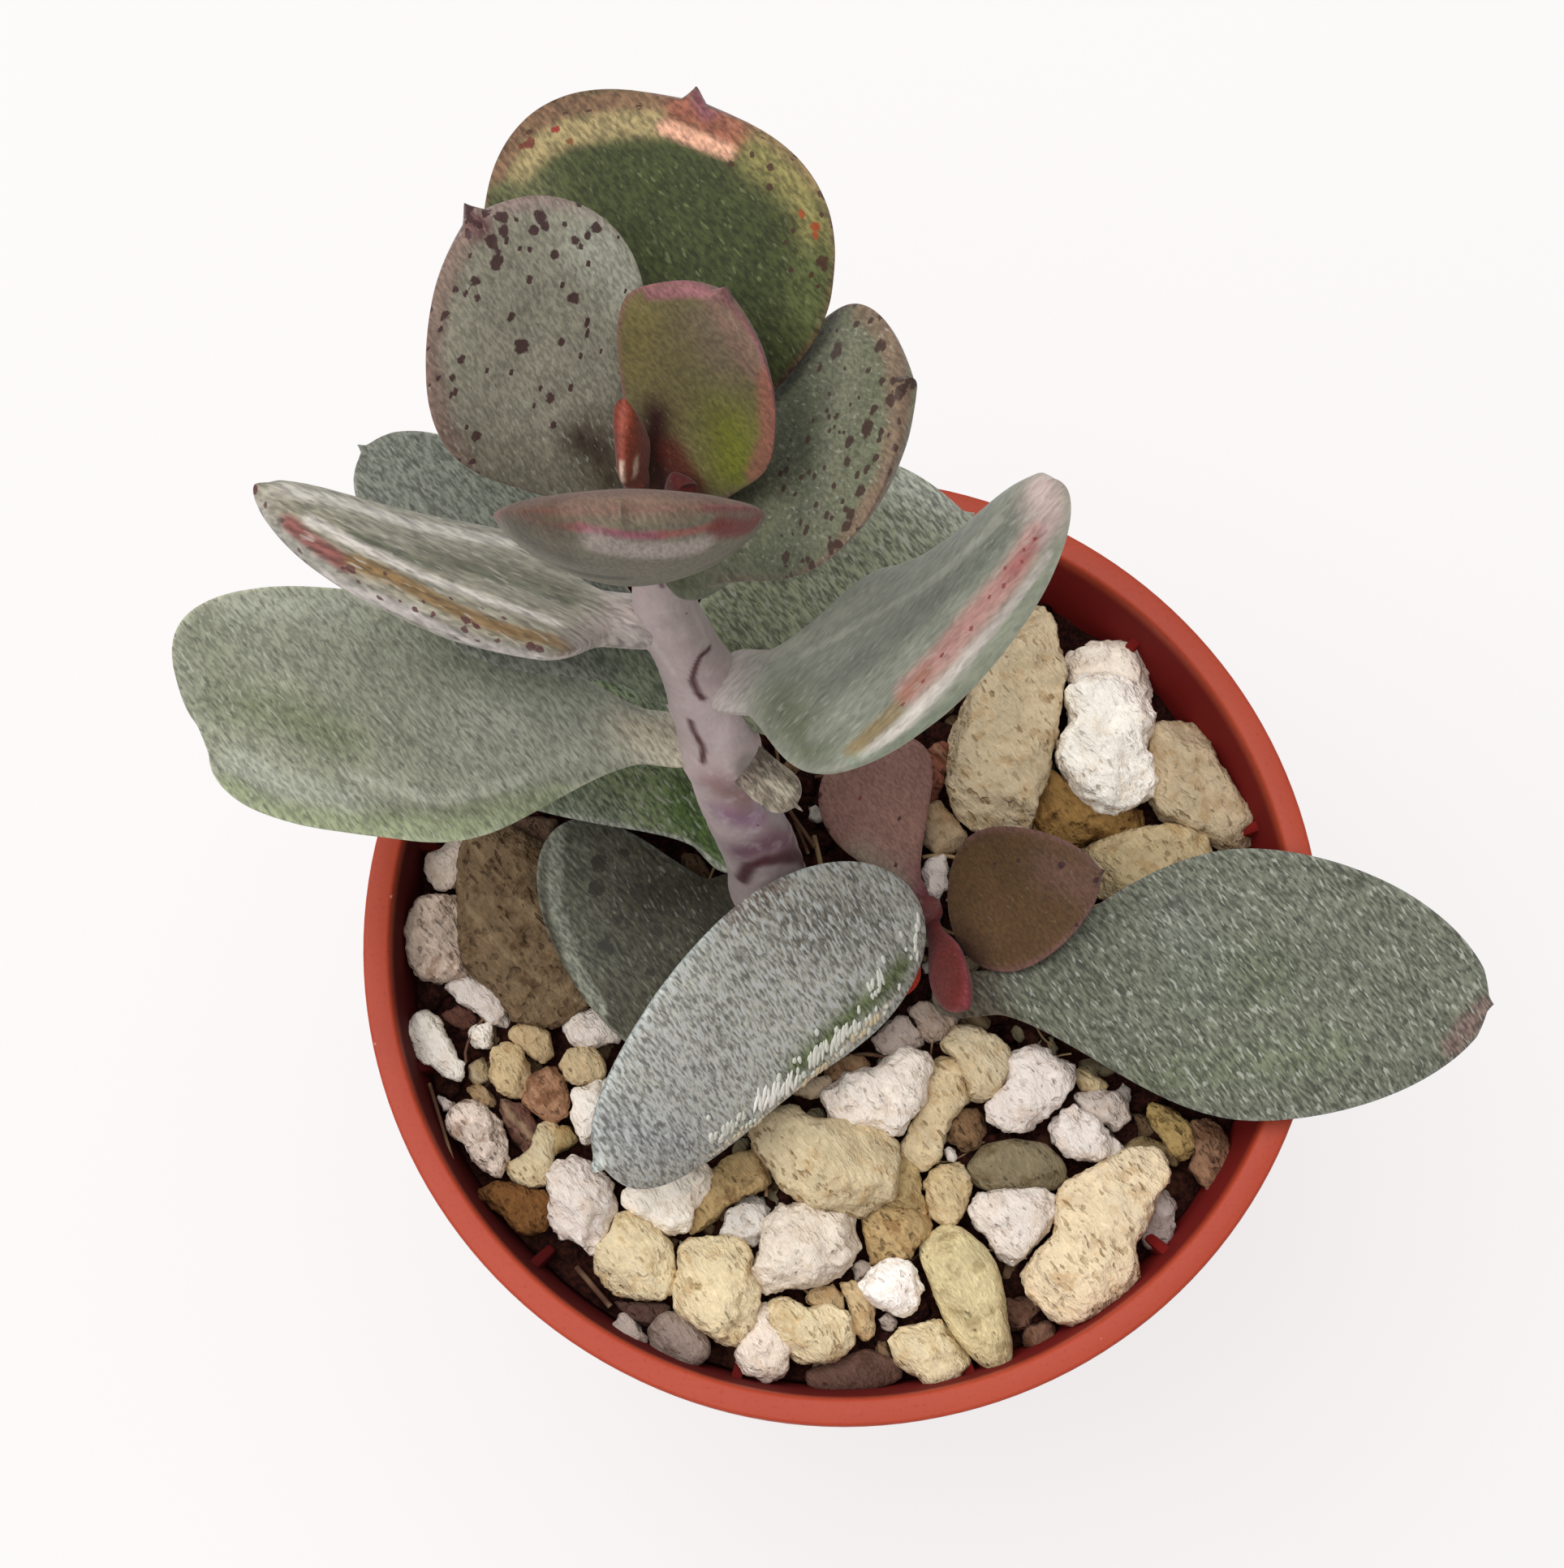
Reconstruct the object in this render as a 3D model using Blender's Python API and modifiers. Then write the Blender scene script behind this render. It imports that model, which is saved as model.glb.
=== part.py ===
"""A young adromischus in a small terracotta-coloured plastic pot, standing in gritty potting mix.

Metres, +Z up. The origin is the middle of the pot's foot, on the surface that the pot stands on. +Y points
away from the viewer and +X to the right. Angles are in degrees, and headings run from +X towards +Y.
"""

import math
import random

import bmesh
import bpy
from mathutils import Matrix, Vector

CLEARANCE = 0.0003  # between pieces that touch

# The pot
POT_HEIGHT = 0.050
RIM_RADIUS = 0.0275
RIM_FACE = 0.0015
RIM_ROUND = 0.0002
COLLAR_DEPTH = 0.0045
COLLAR_UNDERCUT = 0.0004
WALL = 0.0008
BODY_RADIUS = RIM_RADIUS - RIM_FACE + WALL  # the outer wall carried up to the rim
FOOT_RADIUS = 0.0195
FOOT_RING = 0.0018
FLOOR = 0.0018
BASE_RECESS = 0.0010
BASE_DISC_RADIUS = 0.0075
INNER_FILLET = 0.0010
POT_STEPS = 56
RIB_COUNT = 12
RIB_FIRST = 16.2
RIB_THICKNESS = 0.0007
RIB_DEPTH = 0.0013
RIB_ROOT = 0.0004
RIB_TOP = 0.0470
RIB_BOTTOM = 0.0380
RIB_SLOPE = 0.0012
DRAIN_COUNT = 6
DRAIN_RADIUS = 0.0018
DRAIN_CIRCLE = 0.0125
DRAIN_SIDES = 16

# The potting mix and its grit
FILL_HEIGHT = 0.0452
FILL_TILT = 0.0008
MOUND_HEIGHT = 0.0004
MOUND_SPREAD = 0.0150
MIX_RINGS = (0.0, 0.005, 0.010, 0.015, 0.020)
MIX_STEPS = 40
GRIT_SEED = 7
SMALL_GRIT_COUNT = 64
SMALL_GRIT_SIZE = (0.0023, 0.0040)
SMALL_GRIT_WIDTH = 0.8  # over its length
GRIT_REACH = 0.0238
GRIT_ROOM = 0.2  # how much of a small stone's length stays clear of its neighbours
STEM_ROOM = 0.0035  # kept free of small grit round a stem
GRIT_SUNK = 0.12  # a stone's middle stands this share of its height above the mix
STONE_ROUGHNESS = {"pumice": 0.10, "tan": 0.10, "white": 0.06}

# Grit stones: kind, middle x and y, length, width and the length's heading
STONES = (
    ("pumice", -0.0184, 0.0010, 0.0108, 0.0084, 118),
    ("tan", 0.0100, 0.0120, 0.0125, 0.0066, 76),
    ("white", 0.0160, 0.0108, 0.0066, 0.0056, 80),
    ("white", 0.0152, 0.0164, 0.0048, 0.0044, 40),
    ("tan", 0.0214, 0.0097, 0.0092, 0.0044, 128),
    ("tan", 0.0178, 0.0052, 0.0078, 0.0044, 12),
    ("tan", -0.0010, -0.0129, 0.0078, 0.0054, 150),
    ("white", 0.0017, -0.0090, 0.0062, 0.0048, 10),
    ("white", 0.0108, -0.0087, 0.0048, 0.0046, 60),
    ("white", 0.0139, -0.0107, 0.0046, 0.0038, 20),
    ("tan", 0.0078, -0.0072, 0.0042, 0.0034, 110),
    ("tan", 0.0052, -0.0102, 0.0064, 0.0036, 60),
    ("pumice", 0.0100, -0.0130, 0.0056, 0.0034, 0),
    ("white", 0.0098, -0.0163, 0.0048, 0.0038, 30),
    ("tan", 0.0144, -0.0168, 0.0108, 0.0066, 56),
    ("white", -0.0022, -0.0177, 0.0064, 0.0046, 35),
    ("tan", -0.0074, -0.0201, 0.0056, 0.0046, 100),
    ("tan", -0.0118, -0.0181, 0.0050, 0.0046, 70),
    ("white", -0.0149, -0.0151, 0.0054, 0.0040, 100),
    ("white", -0.0101, -0.0147, 0.0054, 0.0044, 0),
    ("tan", 0.0067, -0.0204, 0.0086, 0.0042, 116),
    ("white", 0.0027, -0.0199, 0.0040, 0.0032, 0),
    ("tan", -0.0018, -0.0224, 0.0048, 0.0034, 10),
    ("white", -0.0046, -0.0222, 0.0046, 0.0028, 80),
    ("tan", 0.0048, -0.0230, 0.0044, 0.0030, 165),
    ("pumice", -0.0092, -0.0218, 0.0036, 0.0032, 0),
    ("tan", 0.0059, -0.0145, 0.0038, 0.0028, 100),
    ("white", -0.0141, -0.0049, 0.0042, 0.0032, 170),
    ("white", -0.0222, -0.0062, 0.0044, 0.0028, 120),
    ("white", -0.0210, -0.0030, 0.0034, 0.0026, 150),
    ("white", -0.0222, 0.0046, 0.0036, 0.0030, 60),
    ("white", -0.0228, 0.0002, 0.0044, 0.0026, 95),
    ("white", -0.0203, -0.0115, 0.0046, 0.0032, 110),
    ("tan", -0.0186, -0.0066, 0.0046, 0.0040, 140),
    ("tan", -0.0170, -0.0100, 0.0034, 0.0030, 20),
    ("white", -0.0132, -0.0098, 0.0042, 0.0028, 80),
    ("white", 0.0042, -0.0052, 0.0042, 0.0030, 30),
    ("tan", -0.0006, -0.0070, 0.0036, 0.0030, 0),
    ("tan", -0.0060, -0.0139, 0.0040, 0.0034, 40),
    ("tan", 0.0026, -0.0155, 0.0046, 0.0034, 60),
    ("pumice", 0.0176, -0.0140, 0.0036, 0.0028, 70),
    ("tan", 0.0192, -0.0092, 0.0040, 0.0030, 110),
)
FINE_STONE = 0.0053  # stones longer than this get the finer facets
STONE_FLATNESS = 0.70
STONE_THICKEST = 0.0042
STONE_SCALE = 1.13  # for the facets, which lie inside the round

# The plant's stems: points on the middle line, with the radius there
MAIN_STEM = (
    ((-0.0030, 0.0002, 0.0360), 0.0019),
    ((-0.0034, 0.0016, 0.0440), 0.0022),
    ((-0.0039, 0.0023, 0.0485), 0.0022),
    ((-0.0047, 0.0042, 0.0535), 0.0021),
    ((-0.0060, 0.0060, 0.0590), 0.0020),
    ((-0.0067, 0.0074, 0.0635), 0.0020),
    ((-0.0074, 0.0092, 0.0680), 0.0019),
    ((-0.0084, 0.0107, 0.0730), 0.0017),
    ((-0.0093, 0.0119, 0.0775), 0.0015),
    ((-0.0096, 0.0134, 0.0820), 0.0012),
    ((-0.0097, 0.0141, 0.0855), 0.0008),
)
PUP_STEM = (
    ((0.0052, 0.0018, 0.0380), 0.0009),
    ((0.0050, 0.0020, 0.0440), 0.0009),
    ((0.0050, 0.0020, 0.0478), 0.0008),
)
STEM_POINT_SPACING = 0.0028
STEM_BEVEL_RESOLUTION = 3

# Leaves. They grow from a stem at a height, a gap off it, or start at a base point. heading and rise aim the
# leaf where it starts, and bend and sweep turn it upwards and sideways over its length. roll turns its face,
# and twist adds to that. cup folds the margins up, lean shifts the tip sideways, and broad is where it is
# widest, as a share of its length.
LEAVES = {
    "leaf_crown_back": dict(
        height=0.0797, gap=0.0005, heading=92, rise=25, length=0.0216, width=0.0193, thick=0.0026, bend=11,
        sweep=-14, roll=-26, cup=0.17, lean=0.05, broad=0.65, tip_power=2.6, colour=(0.105, 0.150, 0.060),
    ),
    "leaf_crown_left": dict(
        height=0.0822, gap=0.0004, heading=128, rise=34.5, length=0.0173, width=0.0122, thick=0.0024,
        bend=13.5, sweep=5, roll=2, cup=0.15, lean=0.28, broad=0.59, tip_power=1.85, colour=(0.270, 0.300, 0.260),
    ),
    "leaf_crown_right": dict(
        height=0.0810, gap=0.0005, heading=18.5, rise=42, length=0.0170, width=0.0130, thick=0.0024, bend=18,
        sweep=3, roll=-24, cup=0.12, broad=0.65, colour=(0.230, 0.280, 0.220),
    ),
    "leaf_crown_inner": dict(
        height=0.0848, gap=0.0007, heading=57, rise=50, length=0.0114, width=0.0093, thick=0.0020, bend=10,
        sweep=-2, roll=-7, cup=0.23, lean=-0.28, broad=0.58, colour=(0.180, 0.200, 0.040),
    ),
    "leaf_crown_front": dict(
        height=0.0840, gap=0.0008, heading=257, rise=82, length=0.0154, width=0.0119, thick=0.0036, bend=-3,
        sweep=3, roll=11, cup=0.08, lean=-0.04, broad=0.57, stalk=0.0010, mucro=0.0004,
        colour=(0.300, 0.180, 0.170),
    ),
    "leaf_left_edge_on": dict(
        height=0.0760, gap=0.0005, heading=180, rise=17, length=0.0196, width=0.0130, thick=0.0034, bend=10,
        sweep=-25.5, roll=48, twist=7.5, cup=0.10, lean=0.18, broad=0.27, tip_power=1.6, stalk=0.0016,
        mucro=0.0005, colour=(0.360, 0.340, 0.290),
    ),
    "leaf_right_boat": dict(
        height=0.0710, heading=-14.5, rise=29.5, length=0.0227, width=0.0124, thick=0.0047, bend=31.5,
        sweep=45.5, roll=-19, twist=-13, cup=0.06, lean=-0.70, broad=0.34, tip_power=1.35, stalk=0.0018,
        mucro=0.0005, colour=(0.310, 0.350, 0.300),
    ),
    "leaf_left_broad": dict(
        height=0.0645, heading=175, rise=11, length=0.0252, width=0.0148, thick=0.0028, bend=12, sweep=22,
        roll=13, cup=0.07, lean=0.30, broad=0.60, tip_power=3.6, stalk=0.0014, mucro=0.0003,
        colour=(0.250, 0.310, 0.240),
    ),
    "leaf_right_back": dict(
        height=0.0675, gap=0.0004, heading=46, rise=0, length=0.0155, width=0.0164, thick=0.0026, bend=-3,
        sweep=-7, roll=5.5, lean=0.20, broad=0.55, tip_power=1.9, stalk=0.0022, mucro=0.0005,
        colour=(0.160, 0.210, 0.160),
    ),
    "leaf_left_back": dict(
        height=0.0690, heading=150, rise=-1, length=0.0207, width=0.0096, thick=0.0026, bend=1, sweep=-5,
        roll=7, lean=0.35, broad=0.49, tip_power=2.0, mucro=0.0005, colour=(0.150, 0.200, 0.160),
    ),
    "leaf_low_left": dict(
        height=0.0512, gap=0.0005, heading=133, rise=3, length=0.0200, width=0.0138, thick=0.0026, bend=2,
        sweep=12, roll=2, lean=-0.27, broad=0.59, stalk=0.0018, mucro=0.0005, colour=(0.130, 0.230, 0.080),
    ),
    "leaf_low_front_left": dict(
        height=0.0496, heading=200, rise=0, length=0.0102, width=0.0156, thick=0.0026, sweep=9, roll=-4,
        lean=0.10, broad=0.60, mucro=0.0003, colour=(0.120, 0.150, 0.120),
    ),
    "leaf_front_silver": dict(
        base=(0.0045, 0.0015, 0.0503), heading=207.3, rise=18, length=0.0249, width=0.0114, thick=0.0037,
        bend=-2, sweep=17.6, roll=-21, twist=-25, cup=0.07, lean=-0.44, broad=0.40, tip_power=2.5,
        round_base=True, colour=(0.380, 0.400, 0.380),
    ),
    "leaf_far_right": dict(
        base=(0.0068, -0.0033, 0.0488), heading=4, rise=16, length=0.0301, width=0.0154, thick=0.0028,
        bend=-18, sweep=-12, roll=4, broad=0.55, colour=(0.180, 0.230, 0.180),
    ),
    "bud_leaf": dict(
        base=(-0.0102, 0.0150, 0.0862), heading=101, rise=60, length=0.0052, width=0.0030, thick=0.0012,
        roll=60, stalk=0.0005, mucro=0.0004, colour=(0.300, 0.070, 0.040),
    ),
    "bud_tip": dict(
        base=(-0.0087, 0.0139, 0.0862), heading=20, rise=70, length=0.0026, width=0.0018, thick=0.0010,
        stalk=0.0004, mucro=0.0003, colour=(0.300, 0.030, 0.020),
    ),
    "pup_leaf_back": dict(
        stem="pup_stem", height=0.0463, heading=120, rise=18, length=0.0106, width=0.0071, thick=0.0016,
        bend=1, sweep=-13, cup=0.04, lean=0.26, broad=0.66, stalk=0.0007, colour=(0.210, 0.120, 0.100),
    ),
    "pup_leaf_right": dict(
        base=(0.0061, 0.0021, 0.0485), heading=-4, rise=33.5, length=0.0108, width=0.0083, thick=0.0016,
        bend=8.5, sweep=12, roll=13, cup=0.22, lean=-0.10, broad=0.40, tip_power=1.65, mucro=0.0005,
        round_base=True, colour=(0.140, 0.090, 0.060),
    ),
    "pup_leaf_front": dict(
        stem="pup_stem", height=0.0474, heading=284, rise=38, length=0.0080, width=0.0030, thick=0.0015,
        bend=10, roll=47, cup=0.12, stalk=0.0006, mucro=0.0004, colour=(0.350, 0.060, 0.070),
    ),
    "pup_bud": dict(
        base=(0.0042, -0.0002, 0.0465), heading=245, rise=18, length=0.0036, width=0.0022, thick=0.0012,
        stalk=0.0005, mucro=0.0003, colour=(0.550, 0.080, 0.040),
    ),
}
LEAF_DEFAULTS = dict(
    stem="main_stem", gap=CLEARANCE, bend=0, sweep=0, roll=0, twist=0, cup=0.0, lean=0.0, broad=0.5,
    tip_power=2.1, stalk=0.0013, mucro=0.0008, round_base=False,
)
DRY_LEAF_BASE = dict(
    height=0.0640, gap=0.0006, heading=-48, rise=-10, length=0.0042, width=0.0024, thick=0.0016, stalk=0.0008,
    mucro=0.0003, colour=(0.330, 0.290, 0.210),
)
LEAF_SIDES = 16
LEAF_RINGS = 12
SMALL_LEAF = 0.0110  # leaves shorter than this get fewer faces
SMALL_LEAF_SIDES = 12
SMALL_LEAF_RINGS = 9
SPINE_STEPS = 40

# The form that all the leaves share, as shares of the length where they say "along"
STALK_END = 0.066  # along, where the blade starts to widen
WIDENING_POWER = 1.35
ROUND_BASE_POWER = 2.2
POINT_WIDTH = 0.16  # the small sharp tip's half width over the blade's
POINT_LENGTH = 2.2  # over the mucro
POINT_POWER = 1.2
STALK_DEPTH = 1.25  # the stalk's thickness over its half width
FULL_DEPTH = 0.45  # along, where the leaf reaches its full thickness
ROUND_BASE_DEPTH = 0.40  # along, the same for a leaf with a round base
ROUND_BASE_CURVE = (2.4, 0.6)
TIP_THINS = 0.62  # along, where the leaf starts to thin towards its tip
TIP_CURVE = (2.6, 0.6)
TIP_LEAST = (0.25, 0.4)
UPPER_SHARE = 0.38  # of the thickness above the margins, the rest being below them
MARGIN_POWER = 1.35  # sharpens the margins of the lens-shaped section
LEAN_START = 0.35  # along, where the leaf starts to lean sideways


def clear_scene():
    for obj in list(bpy.data.objects):
        bpy.data.objects.remove(obj, do_unlink=True)


def new_collection(name, helper=False):
    collection = bpy.data.collections.new(name)
    bpy.context.scene.collection.children.link(collection)
    collection.hide_render = helper
    return collection


def finish_material(name, colour, roughness):
    material = bpy.data.materials.new(name)
    material.use_nodes = True
    shader = material.node_tree.nodes["Principled BSDF"]
    shader.inputs["Base Color"].default_value = (*colour, 1.0)
    shader.inputs["Roughness"].default_value = roughness
    shader.inputs["Metallic"].default_value = 0.0
    return material


def add_object(name, mesh, collection, material=None):
    obj = bpy.data.objects.new(name, mesh)
    collection.objects.link(obj)
    if material:
        mesh.materials.append(material)
    return obj


def as_helper(obj):
    obj.hide_render = True
    obj.display_type = "WIRE"
    return obj


def bmesh_object(name, bm, collection, material=None, smooth=False):
    mesh = bpy.data.meshes.new(name)
    bm.to_mesh(mesh)
    bm.free()
    if smooth:
        mesh.shade_smooth()
    return add_object(name, mesh, collection, material)


def turned(name, profile, steps, collection, material=None):
    """A closed turned body from (radius, height) points that start and end on the axis."""
    mesh = bpy.data.meshes.new(name)
    points = [(radius, 0.0, height) for radius, height in profile]
    edges = [(i, i + 1) for i in range(len(points) - 1)]
    mesh.from_pydata(points, edges, [])
    obj = add_object(name, mesh, collection, material)
    screw = obj.modifiers.new("Turn", "SCREW")
    screw.axis = "Z"
    screw.steps = steps
    screw.render_steps = steps
    screw.use_merge_vertices = True
    screw.merge_threshold = 0.00001
    screw.use_smooth_shade = True
    return obj


def evaluated_mesh(obj, name):
    bpy.context.view_layer.update()
    graph = bpy.context.evaluated_depsgraph_get()
    mesh = bpy.data.meshes.new_from_object(obj.evaluated_get(graph))
    mesh.name = name
    return mesh


def add_boolean(obj, label, operation, tool=None, tools=None, solver="EXACT"):
    boolean = obj.modifiers.new(label, "BOOLEAN")
    boolean.operation = operation
    boolean.solver = solver
    if tools:
        boolean.operand_type = "COLLECTION"
        boolean.collection = tools
    else:
        boolean.object = tool
    return boolean


def apply_modifiers(obj):
    mesh = evaluated_mesh(obj, obj.name)
    obj.modifiers.clear()
    obj.data = mesh


def drop_scraps(mesh):
    """Keeps the largest connected body of a mesh, without the chips that the cuts left loose."""
    bm = bmesh.new()
    bm.from_mesh(mesh)
    left = set(bm.verts)
    bodies = []
    while left:
        body, front = set(), [left.pop()]
        while front:
            vertex = front.pop()
            body.add(vertex)
            near = {edge.other_vert(vertex) for edge in vertex.link_edges} & left
            left -= near
            front.extend(near)
        bodies.append(body)
    largest = max(bodies, key=len)
    scraps = [vertex for vertex in bm.verts if vertex not in largest]
    bmesh.ops.delete(bm, geom=scraps, context="VERTS")
    bm.to_mesh(mesh)
    bm.free()


def body_radius(height):
    """The outer radius of the pot's wall, below its collar."""
    return FOOT_RADIUS + (BODY_RADIUS - FOOT_RADIUS) * height / POT_HEIGHT


def inner_radius(height):
    return body_radius(height) - WALL


def rib_blocks(name, thickness, depth, bottom, top, slope, collection):
    """The stacking ribs inside the wall, as loose upright fins rooted in it."""
    bm = bmesh.new()
    for rib in range(RIB_COUNT):
        turn = Matrix.Rotation(math.radians(RIB_FIRST + rib * 360 / RIB_COUNT), 4, "Z")
        fin = bmesh.ops.create_cube(bm, size=1.0)["verts"]
        for corner in fin:
            high = corner.co.z > 0
            inner = corner.co.x < 0
            height = top - (slope if inner else 0.0) if high else bottom
            radius = inner_radius(height) + (-depth if inner else RIB_ROOT)
            corner.co = turn @ Vector((radius, math.copysign(thickness / 2, corner.co.y), height))
    return as_helper(bmesh_object(name, bm, collection))


def drain_cutters(collection):
    bm = bmesh.new()
    for drain in range(DRAIN_COUNT):
        angle = math.radians(drain * 360 / DRAIN_COUNT)
        middle = Vector((DRAIN_CIRCLE * math.cos(angle), DRAIN_CIRCLE * math.sin(angle), FLOOR / 2))
        bmesh.ops.create_cone(
            bm,
            cap_ends=True,
            segments=DRAIN_SIDES,
            radius1=DRAIN_RADIUS,
            radius2=DRAIN_RADIUS,
            depth=3 * FLOOR,
            matrix=Matrix.Translation(middle),
        )
    return as_helper(bmesh_object("drain_cutters", bm, collection))


def make_pot(parts, helpers):
    collar_bottom = POT_HEIGHT - COLLAR_DEPTH
    inner_rim = inner_radius(POT_HEIGHT)
    ring_inner = FOOT_RADIUS - FOOT_RING
    profile = (
        (0.0, FLOOR),
        (inner_radius(FLOOR) - INNER_FILLET, FLOOR),
        (inner_radius(FLOOR + INNER_FILLET), FLOOR + INNER_FILLET),
        (inner_radius(POT_HEIGHT - RIM_ROUND), POT_HEIGHT - RIM_ROUND),
        (inner_rim + RIM_ROUND, POT_HEIGHT),
        (RIM_RADIUS - RIM_ROUND, POT_HEIGHT),
        (RIM_RADIUS, POT_HEIGHT - RIM_ROUND),
        (RIM_RADIUS, collar_bottom + COLLAR_UNDERCUT),
        (RIM_RADIUS - COLLAR_UNDERCUT, collar_bottom),
        (body_radius(collar_bottom), collar_bottom),
        (FOOT_RADIUS, RIM_ROUND),
        (FOOT_RADIUS - RIM_ROUND, 0.0),
        (ring_inner, 0.0),
        (ring_inner - RIM_ROUND, BASE_RECESS),
        (BASE_DISC_RADIUS + RIM_ROUND, BASE_RECESS),
        (BASE_DISC_RADIUS, 0.0),
        (0.0, 0.0),
    )
    plastic = finish_material("terracotta_plastic", (0.500, 0.085, 0.040), 0.42)
    pot = turned("pot", profile, POT_STEPS, parts, plastic)
    ribs = rib_blocks("ribs", RIB_THICKNESS, RIB_DEPTH, RIB_BOTTOM, RIB_TOP, RIB_SLOPE, helpers)
    add_boolean(pot, "Ribs", "UNION", tool=ribs)
    add_boolean(pot, "Drain holes", "DIFFERENCE", tool=drain_cutters(helpers))
    return pot


def mix_height(x, y):
    """The level of the potting mix, a very low mound that stands higher at the front left."""
    mound = MOUND_HEIGHT * math.exp(-(x * x + y * y) / (MOUND_SPREAD * MOUND_SPREAD))
    return FILL_HEIGHT + mound - FILL_TILT * (x + y) / RIM_RADIUS


def add_stone(name, kind, x, y, length, width, heading, fine, rng, collection):
    """One rough stone, sunk in the mix to just under half of its height."""
    bm = bmesh.new()
    bmesh.ops.create_icosphere(bm, subdivisions=2 if fine else 1, radius=0.5)
    thick = min(STONE_FLATNESS * width, STONE_THICKEST)
    middle = Vector((x, y, mix_height(x, y) + GRIT_SUNK * thick))
    turn = Matrix.Rotation(math.radians(heading), 4, "Z")
    size = STONE_SCALE * Vector((length, width, thick))
    rough = STONE_ROUGHNESS[kind]
    for vertex in bm.verts:
        shape = vertex.co * (1 + rng.uniform(-rough, rough))
        vertex.co = turn @ (shape * size) + middle
    return bmesh_object(name, bm, collection)


def add_grit(collection):
    """The stones that show, where they lie, and small grit scattered between them by a seeded rule."""
    rng = random.Random(GRIT_SEED)
    for number, (kind, x, y, length, width, heading) in enumerate(STONES):
        add_stone(f"stone_{number}", kind, x, y, length, width, heading, length > FINE_STONE, rng, collection)
    placed = [(x, y, (length + width) / 4) for _, x, y, length, width, _ in STONES]
    placed += [(route[1][0][0], route[1][0][1], STEM_ROOM) for route in (MAIN_STEM, PUP_STEM)]
    small = 0
    while small < SMALL_GRIT_COUNT:
        radius = GRIT_REACH * math.sqrt(rng.random())
        angle = rng.uniform(0, 2 * math.pi)
        x, y = radius * math.cos(angle), radius * math.sin(angle)
        size = rng.uniform(*SMALL_GRIT_SIZE)
        heading = rng.uniform(0, 180)
        if any(math.hypot(x - px, y - py) < reach + GRIT_ROOM * size for px, py, reach in placed):
            continue
        placed.append((x, y, size / 2))
        width = SMALL_GRIT_WIDTH * size
        add_stone(f"grit_{small}", "tan", x, y, size, width, heading, False, rng, collection)
        small += 1


def spline_points(route):
    """Evenly spaced (point, radius) pairs on a smooth curve through the route."""
    places = [Vector(place) for place, _ in route]
    radii = [radius for _, radius in route]
    ends = [2 * places[0] - places[1], *places, 2 * places[-1] - places[-2]]
    result = []
    for i in range(len(places) - 1):
        before, start, end, after = ends[i : i + 4]
        pieces = max(1, round((end - start).length / STEM_POINT_SPACING))
        for step in range(pieces):
            t = step / pieces
            point = 0.5 * (
                2 * start
                + (end - before) * t
                + (2 * before - 5 * start + 4 * end - after) * t**2
                + (3 * start - before - 3 * end + after) * t**3
            )
            result.append((point, radii[i] + (radii[i + 1] - radii[i]) * t))
    return [*result, (places[-1], radii[-1])]


def stem_curve(name, route, extra, collection, material=None):
    """A round tapering stem along a route, made wider all over by extra."""
    curve = bpy.data.curves.new(name, "CURVE")
    curve.dimensions = "3D"
    curve.bevel_depth = 1.0
    curve.bevel_resolution = STEM_BEVEL_RESOLUTION
    curve.use_fill_caps = True
    points = spline_points(route)
    spline = curve.splines.new("POLY")
    spline.points.add(len(points) - 1)
    for control, (place, radius) in zip(spline.points, points):
        control.co = (*place, 1.0)
        control.radius = radius + extra
    spline.use_smooth = True
    return add_object(name, curve, collection, material)


def stem_cutter(name, route, collection):
    """The plain hole that a stem stands in, as a closed mesh open to the air above."""
    (x, y, z), radius = route[0]
    deeper = (((x, y, z - CLEARANCE), radius), *route[1:])
    curve = stem_curve(name + "_curve", deeper, CLEARANCE, collection)
    mesh = evaluated_mesh(curve, name)
    bpy.data.objects.remove(curve, do_unlink=True)
    bm = bmesh.new()
    bm.from_mesh(mesh)
    bmesh.ops.remove_doubles(bm, verts=bm.verts, dist=0.000001)
    bmesh.ops.recalc_face_normals(bm, faces=bm.faces)
    return as_helper(bmesh_object(name, bm, collection))


def pot_room(collection):
    """The space inside the pot's wall, less the clearance that the mix keeps to it."""
    bottom = FLOOR + CLEARANCE
    profile = (
        (0.0, 2 * POT_HEIGHT),
        (inner_radius(2 * POT_HEIGHT) - CLEARANCE, 2 * POT_HEIGHT),
        (inner_radius(bottom) - CLEARANCE - INNER_FILLET, bottom),
        (0.0, bottom),
    )
    room = turned("pot_room", profile, POT_STEPS, collection)
    mesh = evaluated_mesh(room, "pot_room")
    room.modifiers.clear()
    room.data = mesh
    return as_helper(room)


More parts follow.
